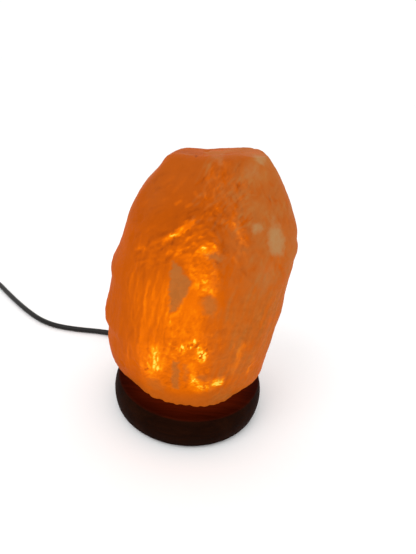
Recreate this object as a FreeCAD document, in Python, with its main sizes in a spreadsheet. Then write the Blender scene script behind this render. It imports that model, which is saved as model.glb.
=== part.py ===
import FreeCAD, Part
import Sketcher
import math
import os

# Salt crystal lamp: a hewn block of rock salt on a turned wooden disc, lit from
# inside by a small E14 bulb on a push-in holder, with a mains lead that carries a
# rotary dimmer and a two-pin plug.
# Millimetres. Origin: middle of the base at table level, +Z up, +X to the right
# and +Y to the back as the lamp is seen from the front.

V = FreeCAD.Vector
doc = FreeCAD.newDocument("SaltLamp")
sheet = doc.addObject("Spreadsheet::Sheet", "dims")

# ---------------------------------------------------------------- dimensions
DIMS = [
    # turned base
    ("base_rad", 62.5), ("base_bottom_rad", 61.7), ("base_top_rad", 60.2),
    ("base_thick", 25.0), ("base_stand", 2.0), ("base_side_rad", 32.5),
    ("base_bore_rad", 19.0), ("cbore_rad", 24.0), ("cbore_deep", 4.0),
    ("groove_wide", 8.4), ("groove_deep", 8.2), ("base_edge", 1.3),
    ("seat_wide", 9.8), ("seat_deep", 9.1), ("lead_turn", 135.0),
    ("screw_circle", 35.0), ("foot_circle", 50.0), ("foot_rad", 6.0),
    ("foot_high", 3.0), ("foot_pit_rad", 6.2), ("foot_pit_deep", 1.0),
    ("screw_pit_rad", 4.6), ("screw_pit_deep", 6.0), ("screw_hole_rad", 2.25),
    # wood screws and nylon plugs that hold the block
    ("screw_head_rad", 3.9), ("screw_head_high", 2.4), ("screw_shank_rad", 2.0),
    ("screw_long", 38.0), ("screw_tip", 3.0), ("plug_rad", 4.0), ("plug_long", 25.0),
    ("pilot_deep", 27.0),
    # salt block
    ("block_foot", 27.0), ("block_top", 209.6), ("top_tilt", 0.145),
    ("cave_rad", 24.0), ("cave_deep", 104.0), ("cave_tip", 11.0),
    # lamp holder
    ("barrel_rad", 15.0), ("barrel_foot", 4.0), ("barrel_top", 33.0),
    ("flange_rad", 22.5), ("flange_top", 5.8), ("wire_room_rad", 12.6),
    ("wire_room_top", 13.0), ("floor_top", 15.5), ("well_rad", 8.6),
    ("cover_foot", 2.4), ("cover_thick", 1.6), ("shell_in", 7.1), ("shell_out", 7.7),
    ("shell_foot", 18.0), ("clip_wide", 8.0), ("clip_thick", 0.5),
    # bulb
    ("cap_rad", 6.95), ("cap_wall", 0.3), ("cap_foot", 20.5), ("cap_top", 37.0),
    ("bulb_rad", 13.0), ("glass_wall", 0.7), ("bulb_mid", 61.5), ("bulb_neck_rad", 6.6),
    ("bulb_swell", 52.0), ("foot_tip", 17.5),
    # mains lead
    ("lead_rad", 2.6), ("sleeve_in", 57.0), ("sleeve_out", 84.0), ("sleeve_root_rad", 3.9),
    ("sleeve_tip_rad", 3.3), ("sleeve_rim_rad", 4.7), ("lead_exit_high", 6.0),
    ("coil_mean", 31.2), ("coil_half", 7.8), ("coil_mid", 8.3), ("coil_x", -252.0),
    ("coil_y", 40.0), ("tie_thick", 0.45), ("tie_wide", 4.0),
    # in-line dimmer
    ("dim_long", 62.0), ("dim_wide", 30.0), ("dim_split", 7.0), ("dim_top", 19.0),
    ("dim_wall", 2.0), ("dim_x", -309.4), ("dim_y", 87.0), ("dim_round", 9.0),
    ("dial_rad", 12.0), ("dial_high", 7.0), ("dial_gap", 0.4), ("dial_stem", 3.0),
    # two-pin plug
    ("pin_rad", 2.0), ("pin_root_rad", 1.6), ("pin_long", 19.0), ("pin_gap", 18.6), ("body_long", 33.0),
    ("body_wide", 27.0), ("body_thick", 14.0), ("tail_long", 16.0), ("plug_x", -195.5),
    ("plug_y", -44.0), ("plug_high", 7.0),
]
# cross-sections of the block: height share, half width right and left, half depth front and back
RINGS = [
    (0.0000, 43.8, 45.4, 45.6, 38.5), (0.0198, 47.0, 52.2, 45.6, 40.5),
    (0.0695, 57.4, 62.7, 46.4, 44.6), (0.1488, 60.9, 67.9, 51.0, 49.2),
    (0.2580, 63.0, 69.5, 55.8, 52.0), (0.3771, 65.3, 69.6, 59.0, 53.2),
    (0.4962, 67.2, 66.4, 57.2, 52.8), (0.6152, 67.9, 62.7, 54.8, 50.6),
    (0.7145, 68.5, 56.6, 51.4, 47.6), (0.8060, 62.6, 52.6, 46.8, 44.8),
    (0.8750, 55.1, 47.3, 41.6, 42.4), (0.9350, 46.1, 39.5, 35.4, 40.6),
    (0.9770, 39.3, 32.8, 27.0, 39.4), (1.0000, 34.5, 27.0, 15.0, 36.5),
]
# corner points of the lead: base to dimmer, dimmer to coil, coil to plug
LEAD = {
    "lamp": [
        (-50.9, 50.9, 6.0), (-67.2, 67.2, 6.0), (-90.0, 78.4, 2.6), (-136.0, 76.5, 2.6),
        (-165.0, 83.6, 2.6), (-197.1, 107.4, 2.6), (-232.0, 139.2, 2.6), (-259.0, 165.4, 2.6),
        (-289.0, 164.0, 2.6), (-309.4, 141.2, 7.0), (-309.4, 112.0, 7.0),
    ],
    "inner": [
        (-309.4, 62.0, 7.0), (-309.4, 32.0, 7.0), (-288.0, 15.0, 2.7), (-262.3, 7.8, 3.1),
    ],
    "outer": [
        (-245.1, 4.3, 8.2), (-222.0, 9.0, 4.5), (-202.0, -4.0, 3.0), (-195.5, -26.0, 7.0),
        (-195.5, -44.0, 7.0),
    ],
}

row = 1
for alias, value in DIMS:
    sheet.set("A%d" % row, alias)
    sheet.set("B%d" % row, str(value))
    sheet.setAlias("B%d" % row, alias)
    row += 1
for k, ring in enumerate(RINGS):
    for name, value in zip(("share", "right", "left", "front", "back"), ring):
        sheet.set("A%d" % row, "ring_%s_%02d" % (name, k))
        sheet.set("B%d" % row, str(value))
        sheet.setAlias("B%d" % row, "ring_%s_%02d" % (name, k))
        row += 1
for part_name, points in LEAD.items():
    for k, point in enumerate(points):
        for axis_name, value in zip("xyz", point):
            alias = "lead_%s_%02d_%s" % (part_name, k, axis_name)
            sheet.set("A%d" % row, alias)
            sheet.set("B%d" % row, str(value))
            sheet.setAlias("B%d" % row, alias)
            row += 1
doc.recompute()


class Size:
    """A length with its number and the sheet formula that drives it."""

    def __init__(self, number, text):
        self.number, self.text = float(number), text

    def __add__(self, other):
        other = as_size(other)
        return Size(self.number + other.number, "(%s + %s)" % (self.text, other.text))

    def __radd__(self, other):
        return as_size(other) + self

    def __sub__(self, other):
        other = as_size(other)
        return Size(self.number - other.number, "(%s - %s)" % (self.text, other.text))

    def __rsub__(self, other):
        return as_size(other) - self

    def __mul__(self, other):
        other = as_size(other)
        return Size(self.number * other.number, "(%s * %s)" % (self.text, other.text))

    __rmul__ = __mul__

    def __neg__(self):
        return Size(-self.number, "(0 - %s)" % self.text)


def as_size(value):
    return value if isinstance(value, Size) else Size(value, "%.9g" % value)


def d(alias):
    return Size(getattr(sheet, alias), "dims.%s" % alias)


# ---------------------------------------------------------------- helpers
SUBPARTS = {}


def give(label, obj):
    obj.Label = label
    SUBPARTS[label] = obj
    return obj


def bind(obj, prop, value):
    value = as_size(value)
    obj.setExpression(prop, value.text)
    return value


def move(obj, x=0, y=0, z=0, turn=None, axis=V(0, 0, 1)):
    x, y, z = as_size(x), as_size(y), as_size(z)
    rotation = FreeCAD.Rotation(axis, turn) if turn is not None else obj.Placement.Rotation
    obj.Placement = FreeCAD.Placement(V(x.number, y.number, z.number), rotation)
    for name, value in (("x", x), ("y", y), ("z", z)):
        if "dims" in value.text:
            obj.setExpression("Placement.Base.%s" % name, value.text)
    return obj


def cylinder(name, radius, height, x=0, y=0, z=0, turn=None, axis=V(0, 0, 1)):
    obj = doc.addObject("Part::Cylinder", name)
    bind(obj, "Radius", radius)
    bind(obj, "Height", height)
    return move(obj, x, y, z, turn, axis)


def cone(name, low, high, height, x=0, y=0, z=0, turn=None, axis=V(0, 0, 1)):
    obj = doc.addObject("Part::Cone", name)
    bind(obj, "Radius1", low)
    bind(obj, "Radius2", high)
    bind(obj, "Height", height)
    return move(obj, x, y, z, turn, axis)


def block(name, long, wide, high, x=0, y=0, z=0, turn=None, axis=V(0, 0, 1)):
    """A box centred on x and y, standing on z."""
    obj = doc.addObject("Part::Box", name)
    long, wide = bind(obj, "Length", long), bind(obj, "Width", wide)
    bind(obj, "Height", high)
    if turn is None:
        return move(obj, as_size(x) - long * 0.5, as_size(y) - wide * 0.5, z)
    a = math.radians(turn)
    dx = long * (-0.5 * math.cos(a)) + wide * (0.5 * math.sin(a))
    dy = long * (-0.5 * math.sin(a)) + wide * (-0.5 * math.cos(a))
    return move(obj, as_size(x) + dx, as_size(y) + dy, z, turn)


def sphere(name, radius, x=0, y=0, z=0):
    obj = doc.addObject("Part::Sphere", name)
    bind(obj, "Radius", radius)
    return move(obj, x, y, z)


def fuse(name, *shapes):
    obj = doc.addObject("Part::MultiFuse", name)
    obj.Shapes = list(shapes)
    obj.Refine = True
    return obj


def cut(name, base, *tools):
    obj = doc.addObject("Part::Cut", name)
    obj.Base = base
    obj.Tool = tools[0] if len(tools) == 1 else fuse(name + "_tools", *tools)
    return obj


def group(name, *shapes):
    obj = doc.addObject("Part::Compound", name)
    obj.Links = list(shapes)
    return obj


def body(label):
    return doc.addObject("PartDesign::Body", label)


def sketch(owner, name, role="XY_Plane", lift=None):
    s = owner.newObject("Sketcher::SketchObject", name)
    plane = [o for o in owner.Origin.OriginFeatures if o.Role == role][0]
    s.AttachmentSupport = (plane, [""])
    s.MapMode = "FlatFace"
    if lift is not None:
        lift = as_size(lift)
        s.AttachmentOffset = FreeCAD.Placement(V(0, 0, lift.number), FreeCAD.Rotation())
        s.setExpression("AttachmentOffset.Base.z", lift.text)
    return s


def pin_point(s, geo, end, x, y):
    """Ties a sketch point to its two coordinates."""
    for kind, axis, value in (("DistanceX", -2, as_size(x)), ("DistanceY", -1, as_size(y))):
        if abs(value.number) < 1e-9 and "dims" not in value.text:
            s.addConstraint(Sketcher.Constraint("PointOnObject", geo, end, axis))
        else:
            k = s.addConstraint(Sketcher.Constraint(kind, -1, 1, geo, end, value.number))
            s.setExpression("Constraints[%d]" % k, value.text)


def polygon(s, points):
    points = [(as_size(x), as_size(y)) for x, y in points]
    at = [V(x.number, y.number, 0) for x, y in points]
    n = len(points)
    ids = [s.addGeometry(Part.LineSegment(at[i], at[(i + 1) % n]), False) for i in range(n)]
    for i in range(n):
        s.addConstraint(Sketcher.Constraint("Coincident", ids[i], 2, ids[(i + 1) % n], 1))
    for i in range(n):
        pin_point(s, ids[i], 1, *points[i])
    return ids


def rectangle(s, x0, y0, x1, y1):
    return polygon(s, [(x0, y0), (x1, y0), (x1, y1), (x0, y1)])


def circle(s, radius, x=0, y=0):
    radius, x, y = as_size(radius), as_size(x), as_size(y)
    k = s.addGeometry(Part.Circle(V(x.number, y.number, 0), V(0, 0, 1), radius.number), False)
    c = s.addConstraint(Sketcher.Constraint("Radius", k, radius.number))
    s.setExpression("Constraints[%d]" % c, radius.text)
    pin_point(s, k, 3, x, y)
    return k


def pad(owner, name, s, length, down=False):
    f = owner.newObject("PartDesign::Pad", name)
    f.Profile = s
    bind(f, "Length", length)
    f.Reversed = down
    return f


def pocket(owner, name, s, length, up=True):
    """Cuts from the sketch plane; up cuts along the sketch's normal."""
    f = owner.newObject("PartDesign::Pocket", name)
    f.Profile = s
    bind(f, "Length", length)
    f.Reversed = up
    return f


def revolve(owner, name, s):
    f = owner.newObject("PartDesign::Revolution", name)
    f.Profile = s
    f.ReferenceAxis = (s, ["V_Axis"])
    f.Angle = 360.0
    return f


def turned(label, points):
    """A body of revolution about Z from a closed outline of (radius, height)."""
    b = body(label)
    s = sketch(b, label + "_outline", "XZ_Plane")
    polygon(s, points)
    revolve(b, label + "_turning", s)
    return b


def removed(owner, feature, before, what):
    """Stops if a cut took nothing away."""
    doc.recompute()
    after = feature.Shape.Volume
    if not before - after > 0.5:
        raise RuntimeError("%s cut nothing" % what)
    return after


def edges_at(shape, test):
    names = []
    for k, e in enumerate(shape.Edges):
        if test(e):
            names.append("Edge%d" % (k + 1))
    return names


def pan_screw(name, head_rad, head_high, shank_rad, long, tip, x, y, z, up=True):
    """A pan-head screw with a cross recess. z is the underside of the head, and the shank goes up from there."""
    head = cylinder(name + "_head", head_rad, head_high)
    shank = cylinder(name + "_shank", shank_rad, long - tip, z=head_high)
    point = cone(name + "_point", shank_rad, 0.3, tip, z=as_size(head_high) + long - tip)
    whole = fuse(name + "_blank", head, shank, point)
    slot_a = block(name + "_slot_a", as_size(head_rad) * 1.2, as_size(head_rad) * 0.26, as_size(head_high) * 0.5, z=-0.01)
    slot_b = block(name + "_slot_b", as_size(head_rad) * 0.26, as_size(head_rad) * 1.2, as_size(head_high) * 0.5, z=-0.01)
    obj = cut(name, whole, slot_a, slot_b)
    if up:
        return move(obj, x, y, as_size(z) - head_high)
    return move(obj, x, y, as_size(z) + head_high, 180, V(1, 0, 0))


def around(radius, angle):
    a = math.radians(angle)
    return as_size(radius) * round(math.cos(a), 9), as_size(radius) * round(math.sin(a), 9)


TURN = sheet.lead_turn
SCREW_AT = [TURN + 60, TURN + 180, TURN + 300]
FOOT_AT = [TURN + 45, TURN + 135, TURN + 225, TURN + 315]

# ---------------------------------------------------------------- wooden base
# A disc with a bowed side. Its underside has a counterbore for the holder's flange,
# a groove for the lead, a seat for the sleeve's rim and pits for feet and screws.
base = body("wooden_base")
s = sketch(base, "base_outline", "XZ_Plane")
pts = [
    (d("cbore_rad"), 0), (d("base_bottom_rad"), 0), (d("base_top_rad"), d("base_thick")),
    (d("base_bore_rad"), d("base_thick")), (d("base_bore_rad"), d("cbore_deep")),
    (d("cbore_rad"), d("cbore_deep")),
]
at = [V(as_size(x).number, as_size(z).number, 0) for x, z in pts]
mid = V(sheet.base_rad, 12.0, 0)
ids = []
for i in range(len(at)):
    if i == 1:
        ids.append(s.addGeometry(Part.Arc(at[1], mid, at[2]), False))
    else:
        ids.append(s.addGeometry(Part.LineSegment(at[i], at[(i + 1) % len(at)]), False))
# the arc runs anticlockwise, so its first end is the lower one
n = len(ids)
for i in range(n):
    s.addConstraint(Sketcher.Constraint("Coincident", ids[i], 2, ids[(i + 1) % n], 1))
for i in range(n):
    pin_point(s, ids[i], 1, *pts[i])
k = s.addConstraint(Sketcher.Constraint("Radius", ids[1], sheet.base_side_rad))
s.setExpression("Constraints[%d]" % k, "dims.base_side_rad")
f = revolve(base, "base_turning", s)
doc.recompute()
rims = edges_at(
    f.Shape,
    lambda e: hasattr(e.Curve, "Radius")
    and e.Closed
    and (abs(e.Curve.Radius - sheet.base_top_rad) < 0.05 or abs(e.Curve.Radius - sheet.base_bottom_rad) < 0.05),
)
ease = base.newObject("PartDesign::Fillet", "base_edges")
ease.Base = (f, rims)
bind(ease, "Radius", d("base_edge"))
doc.recompute()
vol = ease.Shape.Volume
s = sketch(base, "groove_outline")
rectangle(s, 17.0, -(d("groove_wide") * 0.5), d("base_rad") + 4, d("groove_wide") * 0.5)
vol = removed(base, pocket(base, "lead_groove", s, d("groove_deep")), vol, "lead groove")
s = sketch(base, "seat_outline")
rectangle(s, d("sleeve_in") - 0.2, -(d("seat_wide") * 0.5), d("sleeve_in") + 2.7, d("seat_wide") * 0.5)
vol = removed(base, pocket(base, "sleeve_seat", s, d("seat_deep")), vol, "sleeve seat")
s = sketch(base, "foot_pit_outline")
for a in (45, 135, 225, 315):
    circle(s, d("foot_pit_rad"), *around(d("foot_circle"), a))
vol = removed(base, pocket(base, "foot_pits", s, d("foot_pit_deep")), vol, "foot pits")
s = sketch(base, "screw_pit_outline")
for a in (60, 180, 300):
    circle(s, d("screw_pit_rad"), *around(d("screw_circle"), a))
vol = removed(base, pocket(base, "screw_pits", s, d("screw_pit_deep")), vol, "screw pits")
s = sketch(base, "screw_hole_outline")
for a in (60, 180, 300):
    circle(s, d("screw_hole_rad"), *around(d("screw_circle"), a))
vol = removed(base, pocket(base, "screw_holes", s, d("base_thick") + 1), vol, "screw holes")
base.Tip = base.Group[-1]
give("wooden_base", move(base, z=d("base_stand"), turn=TURN))

# rubber feet: four moulded discs with a dished middle, let into the base
feet = []
for k, a in enumerate(FOOT_AT):
    x, y = around(d("foot_circle"), a)
    pad_ = cone("foot_pad_%d" % k, d("foot_rad") - 0.6, d("foot_rad"), 1.0, x, y, 0)
    stem = cylinder("foot_stem_%d" % k, d("foot_rad"), d("foot_high") - 1.0, x, y, 1.0)
    dish = cone("foot_dish_%d" % k, 2.4, 1.6, 0.8, x, y, -0.001)
    feet.append(cut("foot_%d" % k, fuse("foot_blank_%d" % k, pad_, stem), dish))
give("rubber_feet", group("foot_set", *feet))

# wood screws up through the base, each in a nylon plug in the salt
screws, plugs = [], []
for k, a in enumerate(SCREW_AT):
    x, y = around(d("screw_circle"), a)
    screws.append(
        pan_screw("base_screw_%d" % k, d("screw_head_rad"), d("screw_head_high"), d("screw_shank_rad"),
                  d("screw_long"), d("screw_tip"), x, y, d("base_stand") + d("screw_pit_deep"))
    )
    sleeve = cylinder("wall_plug_blank_%d" % k, d("plug_rad"), d("plug_long"), x, y, d("block_foot"))
    hole = cylinder("wall_plug_hole_%d" % k, d("screw_shank_rad"), d("plug_long") + 2, x, y, d("block_foot") - 1)
    plugs.append(cut("wall_plug_%d" % k, sleeve, hole))
give("base_screws", group("base_screw_set", *screws))
give("nylon_plugs", group("wall_plug_set", *plugs))

# ---------------------------------------------------------------- salt block
# The hewn block has no turned or moulded form, so its skin is lofted through
# rounded cross-sections, each with its own reach to the right, left, front and back.
foot_z, top_z = sheet.block_foot, sheet.block_top
wires = []
for k in range(len(RINGS)):
    share, right, left, front, back = (
        getattr(sheet, "ring_%s_%02d" % (name, k)) for name in ("share", "right", "left", "front", "back")
    )
    z = foot_z + share * (top_z - foot_z)
    lean = max(0.0, (share - 0.55) / 0.45) ** 2 * sheet.top_tilt
    square = 2.35 + 5.0 * max(0.0, share - 0.8)  # the sections grow squarer towards the top
    loop = []
    for j in range(32):
        a = 2 * math.pi * j / 32
        c, sn = math.cos(a), math.sin(a)
        rx, ry = (right if c >= 0 else left), (back if sn >= 0 else front)
        r = (abs(c / rx) ** square + abs(sn / ry) ** square) ** (-1 / square)
        loop.append(V(r * c, r * sn, z + lean * r * c))
    curve = Part.BSplineCurve()
    curve.interpolate(Points=loop, PeriodicFlag=True)
    wires.append(Part.Wire([curve.toShape()]))
rough = doc.addObject("Part::Feature", "salt_rough_block")
rough.Shape = Part.makeLoft(wires, True, False, False)
rough.Placement = FreeCAD.Placement(V(0, 0, 0), FreeCAD.Rotation())
cave = fuse(
    "salt_cavity",
    cylinder("cave_bore", d("cave_rad"), d("cave_deep") + 1, z=d("block_foot") - 1),
    cone("cave_end", d("cave_rad"), 1.5, d("cave_tip"), z=d("block_foot") + d("cave_deep")),
)
pilots = []
for k, a in enumerate(SCREW_AT):
    x, y = around(d("screw_circle"), a)
    pilots.append(cylinder("pilot_%d" % k, d("plug_rad"), d("pilot_deep") + 1, x, y, d("block_foot") - 1))
give("salt_crystal", cut("salt_block", rough, cave, *pilots))

# ---------------------------------------------------------------- lamp holder
# Barrel with a flange below, a wiring room, a floor and the well for the screw shell.
holder = turned(
    "holder_barrel",
    [
        (d("wire_room_rad"), d("barrel_foot")), (d("flange_rad"), d("barrel_foot")),
        (d("flange_rad"), d("flange_top")), (d("barrel_rad"), d("flange_top")),
        (d("barrel_rad"), d("barrel_top") - 0.8), (d("barrel_rad") - 0.8, d("barrel_top")),
        (d("well_rad"), d("barrel_top")), (d("well_rad"), d("floor_top")),
        (0, d("floor_top")), (0, d("wire_room_top")), (d("wire_room_rad"), d("wire_room_top")),
    ],
)
entry = block("holder_entry", 16.0, 6.0, 6.0, *around(16.0, TURN), d("barrel_foot") - 0.5, turn=TURN)
slots = [
    block("holder_slot_0", 1.2, 4.4, 4.0, 5.0, 0, d("wire_room_top") - 0.5),
    block("holder_slot_1", 1.2, 4.4, 4.0, -8.0, 0, d("wire_room_top") - 0.5),
]
cover_holes = [cylinder("cover_pilot_%d" % k, 1.2, 3.0, *around(18.6, a), d("barrel_foot") - 0.5) for k, a in enumerate((45, 225))]
give("holder_barrel", cut("holder_barrel_cut", holder, entry, *slots, *cover_holes))

cover = body("holder_cover")
s = sketch(cover, "cover_disc")
circle(s, d("flange_rad"))
pad(cover, "cover_plate", s, d("cover_thick"))
doc.recompute()
vol = cover.Shape.Volume
s = sketch(cover, "cover_entry")
rectangle(s, 6.0, -3.0, d("flange_rad") + 1, 3.0)
p_ = pocket(cover, "cover_notch", s, d("cover_thick"))
vol = removed(cover, p_, vol, "cover notch")
s = sketch(cover, "cover_screw_holes")
for a in (45 - TURN, 225 - TURN):
    circle(s, 1.5, *around(18.6, a))
vol = removed(cover, pocket(cover, "cover_holes", s, d("cover_thick")), vol, "cover holes")
cover.Tip = cover.Group[-1]
give("holder_cover", move(cover, z=d("cover_foot"), turn=TURN))

give(
    "cover_screws",
    group("cover_screw_set", *[
        pan_screw("cover_screw_%d" % k, 2.6, 0.9, 1.2, 3.0, 0.6, *around(18.6, a), d("cover_foot") + 0.9 - 0.9)
        for k, a in enumerate((45, 225))
    ]),
)

# screw shell: a brass tube with a rolled lip, held in the well
give(
    "socket_shell",
    turned(
        "socket_shell",
        [
            (d("shell_in"), d("shell_foot")), (d("shell_out"), d("shell_foot")),
            (d("shell_out"), d("barrel_top") - 1.2), (d("well_rad") - 0.05, d("barrel_top") - 0.6),
            (d("well_rad") - 0.05, d("barrel_top") - 0.1), (d("shell_in") + 0.4, d("barrel_top") - 0.1),
            (d("shell_in"), d("barrel_top") - 1.0),
        ],
    ),
)


def strip(label, points, wide, thick, turn=0.0, x=0.0, y=0.0, z=0.0):
    """A bent strip of sheet metal: its side view is points, (along, up), and it is centred across."""
    b = body(label)
    sk = sketch(b, label + "_side", "XZ_Plane", lift=as_size(wide) * -0.5)
    up, low = [], []
    for i, (px, pz) in enumerate(points):
        a = points[max(i - 1, 0)]
        c = points[min(i + 1, len(points) - 1)]
        tx, tz = c[0] - a[0], c[1] - a[1]
        k = math.hypot(tx, tz)
        nx, nz = -tz / k, tx / k
        h = as_size(thick) * 0.5
        up.append((as_size(px) + h * nx, as_size(pz) + h * nz))
        low.append((as_size(px) - h * nx, as_size(pz) - h * nz))
    polygon(sk, up + low[::-1])
    pad(b, label + "_pad", sk, wide)
    return move(b, x, y, z, turn)


# the centre contact springs up from the floor of the well to the bulb's foot
give("centre_contact", strip("centre_contact", [(5.0, 11.2), (5.0, 15.2), (4.5, 15.72), (1.5, 15.76), (-1.5, 16.9), (-3.5, 17.1)], 4.0, 0.4))
give("side_contact", strip("side_contact", [(-8.1, 9.5), (-8.1, 17.0), (-7.92, 19.0), (-7.92, 24.0)], 4.0, 0.35))
# two spring clips hold the holder in the bore of the base
clip_line = [(15.3, 8.5), (15.6, 11.0), (17.4, 14.5), (18.35, 17.5), (17.4, 20.5), (15.9, 23.5), (15.3, 26.0)]
give(
    "spring_clips",
    group("spring_clip_set",
          strip("spring_clip_0", clip_line, d("clip_wide"), d("clip_thick"), turn=45),
          strip("spring_clip_1", clip_line, d("clip_wide"), d("clip_thick"), turn=225)),
)
# terminals under the floor, a brass block and its screw for each core
blocks, tscrews = [], []
for k, x in enumerate((5.6, -6.2)):
    y = -5.0
    b_ = block("terminal_blank_%d" % k, 5.0, 6.0, 5.0, x, y, 8.0)
    h_ = cylinder("terminal_hole_%d" % k, 1.1, 6.6, x, y + 3.3, 10.0, 90, V(1, 0, 0))
    t_ = cylinder("terminal_tap_%d" % k, 1.0, 3.0, x, y, 7.5)
    blocks.append(cut("terminal_block_%d" % k, b_, h_, t_))
    tscrews.append(pan_screw("terminal_screw_%d" % k, 1.6, 1.0, 0.95, 1.7, 0.3, x, y, 8.0))
give("terminal_blocks", group("terminal_block_set", *blocks))
give("terminal_screws", group("terminal_screw_set", *tscrews))
# saddle that grips the lead's sheath inside the wiring room
gx, gy = around(9.2, TURN)
saddle = block("grip_bar_blank", 4.0, 10.4, 2.2, gx, gy, 8.7, turn=TURN)
grip_holes, grip_screws = [], []
for k, side in enumerate((1, -1)):
    a = math.radians(TURN + 90 * side)
    hx, hy = gx + 4.0 * math.cos(a), gy + 4.0 * math.sin(a)
    grip_holes.append(cylinder("grip_hole_%d" % k, 1.1, 3.0, hx, hy, 8.4))
    grip_screws.append(pan_screw("grip_screw_%d" % k, 1.7, 1.1, 1.05, 4.2, 0.5, hx, hy, 8.7))
give("cord_grip", cut("grip_bar", saddle, *grip_holes))
give("grip_screws", group("grip_screw_set", *grip_screws))

# ---------------------------------------------------------------- bulb
# foot contact of the bulb, a small disc of solder on its rim
give(
    "bulb_foot_contact",
    turned("bulb_foot_contact", [(0, d("foot_tip")), (1.4, d("foot_tip")), (2.3, d("foot_tip") + 0.6), (2.3, d("foot_tip") + 1.1), (0, d("foot_tip") + 1.1)]),
)
give(
    "bulb_insulator",
    turned(
        "bulb_insulator",
        [
            (0, d("foot_tip") + 1.1), (2.6, d("foot_tip") + 1.1), (5.6, d("cap_foot") - 0.3),
            (5.9, d("cap_foot")), (5.9, d("cap_foot") + 1.2), (0, d("cap_foot") + 1.2),
        ],
    ),
)
cap_pts = [(5.95, d("cap_foot")), (6.5, d("cap_foot"))]
turns = 5
pitch = 2.822
for k in range(turns):
    z0 = 21.6 + k * pitch
    cap_pts += [(6.25, z0 - 0.55), (d("cap_rad") - 0.05, z0 + 0.55), (d("cap_rad") - 0.05, z0 + 0.95), (6.25, z0 + 2.0)]
cap_pts += [(6.95, d("cap_top") - 0.9), (7.4, d("cap_top") - 0.2), (7.4, d("cap_top") + 0.6), (6.95, d("cap_top") + 0.6), (5.95, d("cap_top") - 0.6)]
give("bulb_cap", turned("bulb_cap", cap_pts))


def bulb_form(name, inset):
    low = d("cap_foot") + 6.0 + inset
    neck = d("bulb_neck_rad") - 0.7 - inset
    wide = d("bulb_rad") - inset
    return fuse(
        name,
        cylinder(name + "_neck", neck, d("cap_top") + 2.4 - low, z=low),
        cone(name + "_shoulder", neck, wide, d("bulb_swell") - d("cap_top") - 2.4, z=d("cap_top") + 2.4),
        cylinder(name + "_side", wide, d("bulb_mid") - d("bulb_swell"), z=d("bulb_swell")),
        sphere(name + "_dome", wide, z=d("bulb_mid")),
    )


outer = bulb_form("glass_outer", 0.0)
inner = bulb_form("glass_inner", d("glass_wall"))
press = cylinder("glass_press_hole", 1.6, 2.0, z=d("cap_foot") + 5.5)
give("bulb_glass", cut("bulb_glass_shell", outer, inner, press))
# the stem carries the two lead wires and the glass bead under the filament
stem = turned("glass_stem", [(0, 27.3), (4.9, 27.3), (4.2, 30.5), (2.4, 35.0), (1.7, 42.0), (1.6, 47.0), (1.35, 47.6), (0, 47.6)])
wire_holes = [cylinder("stem_wire_%d" % k, 0.45, 30.0, x, 0, 24.0) for k, x in enumerate((0.75, -0.75))]
give("bulb_stem", cut("bulb_stem_drilled", stem, *wire_holes))
leads = []
for k, sgn in enumerate((1, -1)):
    low_ = cylinder("bulb_wire_low_%d" % k, 0.4, 26.0, 0.75 * sgn, 0, 22.4)
    ball = sphere("bulb_wire_knee_%d" % k, 0.4, 0.75 * sgn, 0, 48.4)
    a = math.degrees(math.atan2(6.25, 12.0))
    high_ = cylinder("bulb_wire_high_%d" % k, 0.4, math.hypot(6.25, 12.0), 0.75 * sgn, 0, 48.4, a * sgn, V(0, 1, 0))
    leads.append(fuse("bulb_wire_%d" % k, low_, ball, high_))
give("bulb_lead_wires", group("bulb_wire_set", *leads))
# the filament bows up from one wire to the other
fil_path = doc.addObject("Part::Feature", "filament_path")
fil_path.Shape = Part.Wire([Part.Arc(V(-6.6, 0, 60.6), V(0, 0, 64.6), V(6.6, 0, 60.6)).toShape()])
fil_ring = doc.addObject("Part::Circle", "filament_section")
bind(fil_ring, "Radius", 0.35)
tangent = fil_path.Shape.Edges[0].tangentAt(fil_path.Shape.Edges[0].FirstParameter)
fil_ring.Placement = FreeCAD.Placement(V(-6.6, 0, 60.6), FreeCAD.Rotation(V(0, 0, 1), tangent))
fil = doc.addObject("Part::Sweep", "filament_sweep")
fil.Sections = [fil_ring]
fil.Spine = (fil_path, ["Edge1"])
fil.Solid = True
give("bulb_filament", fil)

# ---------------------------------------------------------------- mains lead
print("cord diameter %.2f" % (2 * sheet.lead_rad))


def route(part_name):
    points = []
    for k in range(len(LEAD[part_name])):
        points.append(V(*[getattr(sheet, "lead_%s_%02d_%s" % (part_name, k, c)) for c in "xyz"]))
    return points


def rounded(points, what):
    """Straight runs joined by tangent arcs, each as large as its two runs allow."""
    edges, last = [], points[0]
    radii = []
    for a, b, c in zip(points, points[1:], points[2:]):
        u, w = (b - a), (c - b)
        run = min(u.Length, w.Length)
        u.normalize()
        w.normalize()
        half = math.acos(max(-1, min(1, u.dot(w)))) / 2
        back = 0.45 * run
        radius = back / math.tan(half)
        radii.append(radius)
        p, q = b - u * back, b + w * back
        bis = (w - u)
        bis.normalize()
        centre = b + bis * math.hypot(radius, back)
        m = centre - bis * radius
        if (p - last).Length > 1e-6:
            edges.append(Part.LineSegment(last, p).toShape())
        edges.append(Part.Arc(p, m, q).toShape())
        last = q
    edges.append(Part.LineSegment(last, points[-1]).toShape())
    wire = Part.Wire(edges)
    print("%s: length %.1f, arc radii %s, least %.1f diameters" % (
        what, wire.Length, " ".join("%.0f" % r for r in radii), min(radii) / (2 * sheet.lead_rad)))
    return wire


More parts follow.
